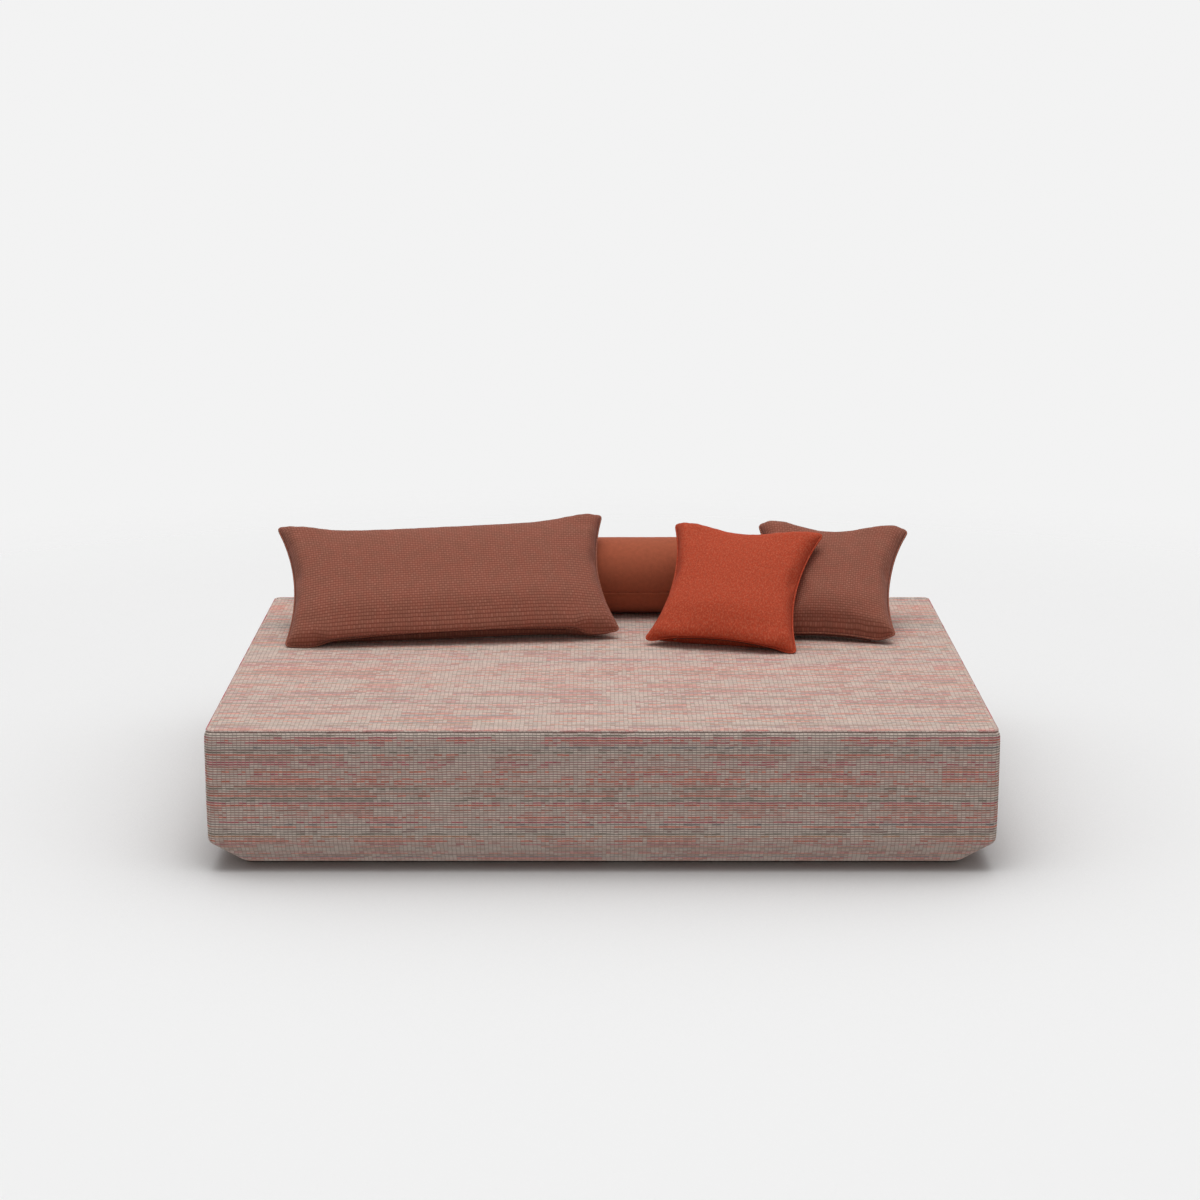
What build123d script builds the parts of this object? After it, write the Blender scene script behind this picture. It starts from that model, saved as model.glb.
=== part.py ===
from build123d import *
import math
import os

# A low rectangular pouf on a bevelled base, with three loose cushions and a round bolster on it.
# Millimetres. +Z is up and the front faces -Y. The origin is on the floor under the pouf's middle.

# Pouf, outside
pouf_length = 2146.0
pouf_depth = 1646.0
pouf_height = 400.0
corner_radius = 25.0
bevel_height = 80.0
bevel_inset = 85.0
floor_gap = 4.0
inner_corner_radius = 2.0

# Cover and padding, from the outside in
cover_thickness = 2.0
wadding_thickness = 6.0
side_pad_thickness = 20.0
topper_thickness = 47.0
core_thickness = 120.0
welt_diameter = 5.0
welt_gap = 0.1
tape_thickness = 1.5
tape_width = 16.0
tape_margin = 2.0

# Frame
board_thickness = 18.0
deck_thickness = 15.0
beam_width = 45.0
beam_spacing = 536.0
corner_block_size = 170.0
corner_block_height = 100.0
dust_cover_thickness = 0.8

# Glides and screws
glide_diameter = 40.0
glide_hole_gap = 0.5
glide_edge = 12.0
screw_diameter = 4.5
screw_head_diameter = 9.0
screw_head_height = 2.5
frame_screw_length = 60.0
glide_screw_length = 30.0
glide_screw_sink = 1.5
frame_screw_pitch = 60.0
frame_screw_level = 165.0

# Square cushions and the long cushion: size of the sewn case before the welt, and half the crown
square_case = 450.0
long_case_length = 1008.0
long_case_height = 450.0
square_half_crown = 76.0
long_half_crown = 80.0
side_draw = 30.0
case_thickness = 1.5
filling_gap = 0.3
cushion_welt_diameter = 5.0
rest_gap = 0.4
lean_gap = 1.0

# Shape of a cushion half, from the seam to the crown: height as a share of the half crown, then how far
# the corner and the middle of a side step in and how round the corner is, as shares of the half height
crown_shares = (
    (0.0, 0.0, 0.0, 0.035),
    (0.14, 0.085, 0.012, 0.06),
    (0.4, 0.26, 0.08, 0.13),
    (0.7, 0.51, 0.265, 0.18),
    (0.91, 0.77, 0.54, 0.17),
    (1.0, 0.92, 0.74, 0.045),
)

# Spread of the points that tell where a soft half touches, as shares of a face
probe_count = 9
probe_shares = [step / (probe_count - 1) for step in range(probe_count)]
lean_rounds = 6

# Zips
zip_width = 5.0
zip_thickness = 1.2
zip_gap = 0.1
square_zip_length = 300.0
long_zip_length = 700.0
bolster_zip_length = 700.0
slider_length = 9.0
slider_width = 6.0
slider_thickness = 3.0

# Bolster
bolster_length = 1000.0
bolster_radius = 121.0
bolster_end_radius = 115.0
bolster_shoulder = 60.0
bolster_end_bulge = 14.0
bolster_rear_inset = 215.0
bolster_middle_x = 120.0
bolster_zip_angle = -20.0

# Where the cushions lean: middle across the pouf, then turn, lean and roll in degrees.
# The long and the woven cushion lean on the bolster, and the felt one on the woven one.
long_middle_x = -480.0
long_tilt = (4.9, 49.7, -2.3)
felt_middle_x = 406.0
felt_tilt = (-12.0, 49.5, 3.3)
woven_middle_x = 699.0
woven_tilt = (-8.7, 51.3, 0.5)
bolster_lift_angle = 30.0

# Working values
bevel_slope = math.hypot(bevel_height, bevel_inset)
overrun = pouf_height
lining_bottom = floor_gap + cover_thickness
frame_bottom = lining_bottom + tape_thickness + tape_thickness
pad_margin = cover_thickness + wadding_thickness
frame_margin = pad_margin + side_pad_thickness
hollow_margin = frame_margin + board_thickness
pad_top = pouf_height - pad_margin
core_top = pad_top - topper_thickness
deck_top = core_top - core_thickness
frame_top = deck_top - deck_thickness
SIDES = ("front", "right", "rear", "left")
quarter_turn = 90.0
bolster_axis_y = pouf_depth / 2 - bolster_rear_inset

os.makedirs("parts", exist_ok=True)


def keep(builder, name):
    """Label a finished piece and write its file."""
    builder.part.label = name
    export_step(builder.part, f"parts/{name}.step")


def break_level(margin):
    """Level at which the upright side meets the bevel, on the surface sunk by margin."""
    return floor_gap + bevel_height + margin * (bevel_slope - bevel_height) / bevel_inset


def foot_inset(margin, level):
    """How far the bevel, sunk by margin, stands in from the pouf's side at a level below the break."""
    return (margin * bevel_slope + bevel_inset * (floor_gap + bevel_height - level)) / bevel_height


def pouf_block(margin, bottom, top):
    """Solid inside the pouf's outer surface sunk by margin, between two levels."""
    radius = max(corner_radius - margin, inner_corner_radius)
    waist = max(break_level(margin), bottom)
    with BuildPart() as block:
        with BuildSketch(Plane.XY.offset(waist)) as outline:
            RectangleRounded(pouf_length - margin - margin, pouf_depth - margin - margin, radius)
        extrude(amount=top - waist)
        if bottom < waist:
            inset = foot_inset(margin, bottom)
            with BuildSketch(Plane.XY.offset(bottom)) as foot:
                RectangleRounded(pouf_length - inset - inset, pouf_depth - inset - inset, radius)
            loft(sections=[foot.sketch, outline.sketch], ruled=True)
    return block.part


def side_wedge(side):
    """Plan region of one side, bounded by the mitre lines through the corners."""
    across = pouf_length if side in ("front", "rear") else pouf_depth
    away = pouf_depth if side in ("front", "rear") else pouf_length
    turn = SIDES.index(side) * quarter_turn
    half, near, reach = across / 2, away / 2, bevel_inset + bevel_inset + hollow_margin
    with BuildPart() as wedge:
        with BuildSketch():
            with BuildLine():
                Polyline(
                    (-half - overrun, -near - overrun),
                    (half + overrun, -near - overrun),
                    (half - reach, reach - near),
                    (reach - half, reach - near),
                    close=True,
                )
            make_face()
        extrude(amount=pouf_height + overrun)
    return wedge.part.rotate(Axis.Z, turn)


wedges = {side: side_wedge(side) for side in SIDES}


def sided_ring(ring, pattern):
    """Cut a ring along the mitres and keep each side as its own piece."""
    for side, wedge in wedges.items():
        with BuildPart() as piece:
            add(ring)
            add(wedge, mode=Mode.INTERSECT)
        keep(piece, pattern.format(side))


# Screws that hold the cross beams, heads flush with the rails' outer faces
beam_columns = (-beam_spacing, 0.0, beam_spacing)
rail_face = pouf_depth / 2 - frame_margin


def screw(head_plane, length):
    """Countersunk screw that runs from its head into the wood, against the plane's normal."""
    with BuildPart() as body:
        with BuildSketch(head_plane):
            Circle(screw_head_diameter / 2)
        with BuildSketch(head_plane.offset(-screw_head_height)):
            Circle(screw_diameter / 2)
        loft()
        with BuildSketch(head_plane.offset(-screw_head_height)):
            Circle(screw_diameter / 2)
        extrude(amount=screw_head_height - length)
    return body.part


with BuildPart() as frame_screws:
    for column in beam_columns:
        for level in (frame_screw_level, frame_screw_level - frame_screw_pitch):
            for way in (-1, 1):
                face = Plane(origin=(column, way * rail_face, level), z_dir=(0, way, 0))
                add(screw(face, frame_screw_length))
keep(frame_screws, "frame_screws")

# Corner blocks in the four corners of the frame, standing on the bevel boards' level
block_x = pouf_length / 2 - hollow_margin - corner_block_size / 2
block_y = pouf_depth / 2 - hollow_margin - corner_block_size / 2
block_foot = foot_inset(hollow_margin, frame_bottom)
glide_reach = block_foot + glide_edge + glide_diameter / 2
glide_x = pouf_length / 2 - glide_reach
glide_y = pouf_depth / 2 - glide_reach
glide_places = [(x, y) for x in (-glide_x, *beam_columns, glide_x) for y in (-glide_y, glide_y)]
inner_block = pouf_block(hollow_margin, frame_bottom, frame_top)

with BuildPart() as glide_screws:
    for x, y in glide_places:
        head = Plane(origin=(x, y, glide_screw_sink), z_dir=(0, 0, -1))
        add(screw(head, glide_screw_length))
keep(glide_screws, "glide_screws")

with BuildPart() as corner_blocks:
    with BuildSketch(Plane.XY.offset(frame_bottom)):
        with Locations((block_x, block_y), (-block_x, block_y), (block_x, -block_y), (-block_x, -block_y)):
            Rectangle(corner_block_size, corner_block_size)
    extrude(amount=corner_block_height)
    add(inner_block, mode=Mode.INTERSECT)
    add(glide_screws.part, mode=Mode.SUBTRACT)
keep(corner_blocks, "corner_blocks")

# Cross beams from the front rail to the rear rail
for column, place in zip(beam_columns, ("left", "middle", "right")):
    with BuildPart() as cross_beam:
        with BuildSketch(Plane.XY.offset(frame_bottom)):
            with Locations((column, 0)):
                Rectangle(beam_width, pouf_depth)
        extrude(amount=frame_top - frame_bottom)
        add(inner_block, mode=Mode.INTERSECT)
        add(frame_screws.part, mode=Mode.SUBTRACT)
        add(glide_screws.part, mode=Mode.SUBTRACT)
    keep(cross_beam, f"cross_beam_{place}")

# Upright rails and the sloping boards below them
board_break = (break_level(frame_margin) + break_level(hollow_margin)) / 2

with BuildPart() as board_ring:
    add(pouf_block(frame_margin, frame_bottom, frame_top))
    add(inner_block, mode=Mode.SUBTRACT)
    add(frame_screws.part, mode=Mode.SUBTRACT)

with BuildPart() as rail_ring:
    add(board_ring.part)
    split(bisect_by=Plane.XY.offset(board_break), keep=Keep.TOP)

with BuildPart() as bevel_ring:
    add(board_ring.part)
    split(bisect_by=Plane.XY.offset(board_break), keep=Keep.BOTTOM)

sided_ring(rail_ring.part, "{}_rail")
sided_ring(bevel_ring.part, "{}_bevel_rail")

# Deck of two boards that meet over the middle beam
with BuildPart() as deck:
    add(pouf_block(frame_margin, frame_top, deck_top))

for place, half in (("left", Keep.BOTTOM), ("right", Keep.TOP)):
    with BuildPart() as deck_board:
        add(deck.part)
        split(bisect_by=Plane.YZ, keep=half)
    keep(deck_board, f"deck_board_{place}")

# Glides under the corner blocks and the beams
with BuildPart() as glides:
    with BuildSketch():
        with Locations(*glide_places):
            Circle(glide_diameter / 2)
    extrude(amount=frame_bottom)
    with BuildSketch():
        with Locations(*glide_places):
            Circle(screw_head_diameter / 2)
    extrude(amount=glide_screw_sink, mode=Mode.SUBTRACT)
    add(glide_screws.part, mode=Mode.SUBTRACT)
keep(glides, "glides")

# Hook strips under the bevel boards, and loop strips sewn to the cover's turned-under edge
tape_inset = foot_inset(frame_margin, lining_bottom) + tape_margin
tape_line_x = pouf_length / 2 - tape_inset - tape_width / 2
tape_line_y = pouf_depth / 2 - tape_inset - tape_width / 2
return_inset = tape_inset + tape_width + tape_margin


def tape_set(level, name):
    """Four straight strips of tape under the bevel boards, butted at the corners."""
    with BuildPart() as strips:
        with BuildSketch(Plane.XY.offset(level)):
            with Locations((0, tape_line_y), (0, -tape_line_y)):
                Rectangle(tape_line_x + tape_line_x - tape_width - tape_margin, tape_width)
            with Locations((tape_line_x, 0), (-tape_line_x, 0)):
                Rectangle(tape_width, tape_line_y + tape_line_y + tape_width)
        extrude(amount=tape_thickness)
    keep(strips, name)


tape_set(lining_bottom, "loop_strips")
tape_set(lining_bottom + tape_thickness, "hook_strips")

# Dust cover under the frame, inside the strips, with a hole round each glide
with BuildPart() as dust_cover:
    with BuildSketch(Plane.XY.offset(frame_bottom - dust_cover_thickness)):
        Rectangle(pouf_length - return_inset - return_inset, pouf_depth - return_inset - return_inset)
        with Locations(*glide_places):
            Circle(glide_diameter / 2 + glide_hole_gap, mode=Mode.SUBTRACT)
    extrude(amount=dust_cover_thickness)
keep(dust_cover, "dust_cover")

# Foam and wadding
with BuildPart() as foam_core:
    add(pouf_block(frame_margin, deck_top, core_top))
keep(foam_core, "foam_core")

with BuildPart() as foam_topper:
    add(pouf_block(frame_margin, core_top, pad_top))
keep(foam_topper, "foam_topper")

with BuildPart() as side_pad_ring:
    add(pouf_block(pad_margin, lining_bottom, pad_top))
    add(pouf_block(frame_margin, lining_bottom, pad_top), mode=Mode.SUBTRACT)
sided_ring(side_pad_ring.part, "{}_side_pad")

with BuildPart() as wadding:
    add(pouf_block(cover_thickness, lining_bottom, pouf_height - cover_thickness))
    add(pouf_block(pad_margin, lining_bottom, pad_top), mode=Mode.SUBTRACT)
keep(wadding, "wadding")

# Cover: side panels with their turned-under edge, the top panel and the welt between them
seam_level = pouf_height - cover_thickness

with BuildPart() as cover_ring:
    add(pouf_block(0.0, floor_gap, seam_level))
    add(pouf_block(cover_thickness, lining_bottom, seam_level), mode=Mode.SUBTRACT)
    with BuildSketch(Plane.XY.offset(floor_gap)):
        Rectangle(pouf_length - return_inset - return_inset, pouf_depth - return_inset - return_inset)
    extrude(amount=cover_thickness, mode=Mode.SUBTRACT)
sided_ring(cover_ring.part, "cover_{}_panel")

with BuildPart() as cover_top_panel:
    add(pouf_block(0.0, seam_level, pouf_height))
keep(cover_top_panel, "cover_top_panel")

welt_reach = welt_diameter / 2 + welt_gap
welt_length = pouf_length + welt_reach + welt_reach
welt_depth = pouf_depth + welt_reach + welt_reach

with BuildPart() as cover_welt:
    with BuildLine(Plane.XY.offset(seam_level)) as welt_path:
        corner = corner_radius + welt_reach
        FilletPolyline(
            (-welt_length / 2, -welt_depth / 2),
            (welt_length / 2, -welt_depth / 2),
            (welt_length / 2, welt_depth / 2),
            (-welt_length / 2, welt_depth / 2),
            radius=corner,
            close=True,
        )
    with BuildSketch(Plane(origin=welt_path.line @ 0, z_dir=welt_path.line % 0)):
        Circle(welt_diameter / 2)
    sweep()
keep(cover_welt, "cover_welt")


# Cushions
def turned(direction, tilt):
    """Direction on an upright cushion, carried to the leaning one."""
    turn, lean, roll = tilt
    return direction.rotate(Axis.Y, roll).rotate(Axis.X, -lean).rotate(Axis.Z, turn)


def cushion_plane(middle, tilt):
    """Seam plane of a leaning cushion: x to its right, y up it and z out of its front."""
    right = turned(Vector(1, 0, 0), tilt)
    return Plane(origin=middle, x_dir=right, z_dir=turned(Vector(0, -1, 0), tilt))


def case_outline(plane, length, height, corner_step, side_step, tip_radius):
    """Outline of a case: four bowed sides between rounded tips."""
    tip_x, tip_y = length / 2 - corner_step, height / 2 - corner_step
    mid_x, mid_y = length / 2 - side_step, height / 2 - side_step
    with BuildSketch(plane) as outline:
        with BuildLine():
            ThreePointArc((-tip_x, -tip_y), (0, -mid_y), (tip_x, -tip_y))
            ThreePointArc((tip_x, -tip_y), (mid_x, 0), (tip_x, tip_y))
            ThreePointArc((tip_x, tip_y), (0, mid_y), (-tip_x, tip_y))
            ThreePointArc((-tip_x, tip_y), (-mid_x, 0), (-tip_x, -tip_y))
        make_face()
        fillet(outline.vertices(), tip_radius)
    return outline.sketch


def cushion_half(plane, size, way, inside=0.0):
    """Soft half of a cushion on one side of its seam plane, sunk inside its skin by a thickness."""
    length, height, half_crown = (extent - inside for extent in size)
    half_height = height / 2
    sections = []
    for rise, corner_in, side_in, roundness in crown_shares:
        level = plane.offset(way * rise * half_crown)
        corner_step = inside / 2 + corner_in * half_height
        side_step = inside / 2 + side_draw + side_in * half_height
        outline = case_outline(level, length, height, corner_step, side_step, roundness * half_height)
        sections.append(outline)
    with BuildPart() as half:
        loft(sections=sections)
    return half.part


def seam_line(plane, size):
    """Middle line of the welt round a cushion's seam."""
    length, height, _ = size
    tip_radius = crown_shares[0][-1] * height / 2
    with BuildSketch(plane) as outline:
        add(case_outline(Plane.XY, length, height, 0.0, side_draw, tip_radius))
        offset(amount=cushion_welt_diameter / 2 + welt_gap)
    return outline.sketch.wire()


def probe_points(solid):
    """Points spread over the curved faces of a soft half."""
    faces = [face for face in solid.faces() if face.geom_type != GeomType.PLANE]
    return [face.position_at(u, v) for face in faces for u in probe_shares for v in probe_shares]


bolster_axis_z = pouf_height + rest_gap + bolster_radius


def standing(size, middle_x, tilt):
    """Seam plane of a cushion that stands on the pouf's top, with the points of its back."""
    trial = cushion_plane((0, 0, 0), tilt)
    back = probe_points(cushion_half(trial, size, -1))
    welt_low = seam_line(trial, size).bounding_box().min.Z - cushion_welt_diameter / 2
    low = min(welt_low, min(point.Z for point in back))
    middle = Vector(middle_x, 0, pouf_height + rest_gap - low)
    return cushion_plane(middle, tilt), [middle + point for point in back]


def on_bolster(size, middle_x, tilt):
    """Seam plane of a cushion whose back leans on the bolster."""
    plane, back = standing(size, middle_x, tilt)
    reach = bolster_radius + lean_gap
    steps = []
    for point in back:
        across, above = point.X - bolster_middle_x, point.Z - bolster_axis_z
        if abs(across) < bolster_length / 2 and abs(above) < reach:
            steps.append(bolster_axis_y - point.Y - math.sqrt(reach * reach - above * above))
    return cushion_plane(plane.origin + Vector(0, min(steps), 0), tilt)


def on_cushion(size, middle_x, tilt, behind):
    """Seam plane of a square cushion whose back leans on the front of the one behind it."""
    plane, _ = standing(size, middle_x, tilt)
    wall = cushion_half(behind, size, 1)
    back = cushion_half(plane, size, -1)
    place = behind.origin.Y - square_half_crown - square_half_crown
    for _ in range(lean_rounds):
        place += back.moved(Location((0, place, 0))).distance_to(wall) - lean_gap
    return cushion_plane(plane.origin + Vector(0, place, 0), tilt)


def zip_arc(size, zip_length):
    """Radius, middle and half angle of the zip in a cushion's bowed bottom seam."""
    length, height, _ = size
    half = length / 2
    radius = (half * half + side_draw * side_draw) / (side_draw + side_draw)
    middle = (0, side_draw - height / 2 - radius)
    return radius, middle, math.degrees(zip_length / 2 / radius)


def make_cushion(name, plane, size, zip_length):
    """All pieces of one cushion, in place."""
    for way, face in ((1, "front"), (-1, "back")):
        with BuildPart() as panel:
            add(cushion_half(plane, size, way))
            add(cushion_half(plane, size, way, case_thickness), mode=Mode.SUBTRACT)
        keep(panel, f"{name}_{face}")

    with BuildPart() as filling:
        add(cushion_half(plane, size, 1, case_thickness + filling_gap))
        add(cushion_half(plane, size, -1, case_thickness + filling_gap))
    keep(filling, f"{name}_filling")

    with BuildPart() as welt:
        line = seam_line(plane, size)
        with BuildSketch(Plane(origin=line @ 0, z_dir=line % 0)):
            Circle(cushion_welt_diameter / 2)
        sweep(path=line)
    keep(welt, f"{name}_welt")

    radius, middle, half_angle = zip_arc(size, zip_length)
    zip_level = plane.offset(-cushion_welt_diameter / 2 - zip_gap)
    with BuildPart() as zip_band:
        with BuildSketch(zip_level):
            with BuildLine():
                outer = CenterArc(middle, radius, quarter_turn - half_angle, half_angle + half_angle)
                inner = CenterArc(middle, radius - zip_width, quarter_turn - half_angle, half_angle + half_angle)
                Line(outer @ 0, inner @ 0)
                Line(outer @ 1, inner @ 1)
            make_face()
        extrude(amount=-zip_thickness)
    keep(zip_band, f"{name}_zip")

    slider_angle = math.degrees(slider_length / radius)
    with BuildPart() as slider:
        with BuildSketch(zip_level.offset(-zip_thickness - zip_gap)):
            with Locations(middle):
                start = quarter_turn + half_angle - slider_angle / 2
                with PolarLocations(radius - zip_width / 2, 1, start_angle=start):
                    Rectangle(slider_width, slider_length)
        extrude(amount=-slider_thickness)
    keep(slider, f"{name}_zip_slider")

    pivot = plane.from_local_coords(middle)
    print("joint", name, "lift axis", tuple(plane.z_dir), "right", tuple(plane.x_dir))
    print("joint", name, "middle", tuple(plane.origin))
    print("joint", name, "zip pivot", tuple(pivot), "axis", tuple(-plane.z_dir))
    print("joint", name, "zip range in degrees", half_angle + half_angle - slider_angle)


long_size = (long_case_length, long_case_height, long_half_crown)
square_size = (square_case, square_case, square_half_crown)
long_seat = on_bolster(long_size, long_middle_x, long_tilt)
woven_seat = on_bolster(square_size, woven_middle_x, woven_tilt)
felt_seat = on_cushion(square_size, felt_middle_x, felt_tilt, woven_seat)
make_cushion("long_cushion", long_seat, long_size, long_zip_length)
make_cushion("felt_cushion", felt_seat, square_size, square_zip_length)
make_cushion("woven_cushion", woven_seat, square_size, square_zip_length)

# Bolster: a straight sleeve that draws in at the shoulders, with a domed end on each side
bolster_plane = Plane(
    origin=(bolster_middle_x, bolster_axis_y, bolster_axis_z),
    x_dir=(1, 0, 0),
    z_dir=(0, -1, 0),
)
bolster_axis = Axis(bolster_plane.origin, (1, 0, 0))
half_length = bolster_length / 2
straight = half_length - bolster_shoulder


def roll_outline(inside, bulge):
    """Half outline of the bolster above its axis, sunk by a thickness, with its ends domed by a bulge."""
    radius, end_radius = bolster_radius - inside, bolster_end_radius - inside
    with BuildSketch(bolster_plane) as outline:
        with BuildLine():
            top = Line((-straight, radius), (straight, radius))
            TangentArc(top @ 1, (half_length, end_radius), tangent=(1, 0))
            TangentArc(top @ 0, (-half_length, end_radius), tangent=(-1, 0))
            if bulge > 0:
                dome = (end_radius * end_radius + bulge * bulge) / (bulge + bulge)
                RadiusArc((half_length, end_radius), (half_length + bulge, 0), dome)
                RadiusArc((-half_length - bulge, 0), (-half_length, end_radius), dome)
            else:
                Line((half_length, end_radius), (half_length, 0))
                Line((-half_length, end_radius), (-half_length, 0))
            Line((-half_length - bulge, 0), (half_length + bulge, 0))
        make_face()
    return outline.sketch


def rolled(inside, bulge):
    """Bolster body sunk inside its skin by a thickness."""
    with BuildPart() as body:
        add(roll_outline(inside, bulge))
        revolve(axis=bolster_axis)
    return body.part


skin_inside = rolled(case_thickness, bolster_end_bulge - case_thickness)

with BuildPart() as bolster_sleeve:
    add(rolled(0.0, 0.0))
    add(rolled(case_thickness, 0.0), mode=Mode.SUBTRACT)
keep(bolster_sleeve, "bolster_sleeve")

with BuildPart() as bolster_shell:
    add(rolled(0.0, bolster_end_bulge))
    add(rolled(0.0, 0.0), mode=Mode.SUBTRACT)
    add(skin_inside, mode=Mode.SUBTRACT)

for place, half in (("left", Keep.BOTTOM), ("right", Keep.TOP)):
    with BuildPart() as bolster_end:
        add(bolster_shell.part)
        split(bisect_by=Plane(origin=bolster_plane.origin, z_dir=(1, 0, 0)), keep=half)
    keep(bolster_end, f"bolster_{place}_end")

with BuildPart() as bolster_core:
    add(rolled(case_thickness + filling_gap, bolster_end_bulge - case_thickness - filling_gap))
keep(bolster_core, "bolster_core")

with BuildPart() as bolster_welts:
    ring_radius = bolster_end_radius + welt_gap + cushion_welt_diameter / 2
    with BuildSketch(bolster_plane):
        with Locations((half_length, ring_radius), (-half_length, ring_radius)):
            Circle(cushion_welt_diameter / 2)
    revolve(axis=bolster_axis)
keep(bolster_welts, "bolster_welts")

zip_out = Vector(0, 1, 0).rotate(Axis.X, bolster_zip_angle)
zip_face = Plane(
    origin=bolster_plane.origin + zip_out * (bolster_radius + zip_gap),
    x_dir=(1, 0, 0),
    z_dir=zip_out,
)

with BuildPart() as bolster_zip:
    with BuildSketch(zip_face):
        Rectangle(bolster_zip_length, zip_width)
    extrude(amount=zip_thickness)
keep(bolster_zip, "bolster_zip")

with BuildPart() as bolster_zip_slider:
    with BuildSketch(zip_face.offset(zip_thickness + zip_gap)):
        with Locations((slider_length / 2 - bolster_zip_length / 2, 0)):
            Rectangle(slider_length, slider_width)
    extrude(amount=slider_thickness)
keep(bolster_zip_slider, "bolster_zip_slider")

lift = Vector(0, 1, 0).rotate(Axis.X, bolster_lift_angle)
print("joint bolster lift axis", tuple(lift), "zip travel", bolster_zip_length - slider_length)
print("glide places", glide_places)
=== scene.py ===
import logging
import math
from collections.abc import Iterator
from contextlib import contextmanager
from dataclasses import dataclass
from enum import Enum

import bmesh
import bpy
import numpy as np
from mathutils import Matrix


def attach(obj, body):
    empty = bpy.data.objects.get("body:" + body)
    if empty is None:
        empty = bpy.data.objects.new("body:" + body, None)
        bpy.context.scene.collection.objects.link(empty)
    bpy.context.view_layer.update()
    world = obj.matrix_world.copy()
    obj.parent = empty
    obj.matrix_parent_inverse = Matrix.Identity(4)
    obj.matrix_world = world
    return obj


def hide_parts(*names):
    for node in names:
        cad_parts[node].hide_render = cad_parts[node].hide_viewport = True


# Looks of a low upholstered pouf with three loose cushions and a bolster.
# Lengths are in metres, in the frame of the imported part.

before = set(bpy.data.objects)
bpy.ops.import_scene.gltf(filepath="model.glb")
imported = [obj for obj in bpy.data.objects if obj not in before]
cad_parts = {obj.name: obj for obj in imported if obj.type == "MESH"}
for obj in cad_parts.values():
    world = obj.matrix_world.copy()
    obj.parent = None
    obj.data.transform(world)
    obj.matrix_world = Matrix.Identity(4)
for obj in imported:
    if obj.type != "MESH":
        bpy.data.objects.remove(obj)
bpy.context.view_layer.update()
LOG = logging.getLogger("pouf")
MM = 0.001

Socket = bpy.types.NodeSocket
Material = bpy.types.Material
Piece = bpy.types.Object


class Side(Enum):
    """The pouf's four upright sides: each one's way out, and the way to the right seen from outside."""

    FRONT = ((0.0, -1.0), (1.0, 0.0))
    RIGHT = ((1.0, 0.0), (0.0, 1.0))
    REAR = ((0.0, 1.0), (-1.0, 0.0))
    LEFT = ((-1.0, 0.0), (0.0, -1.0))


# Node wiring


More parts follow.
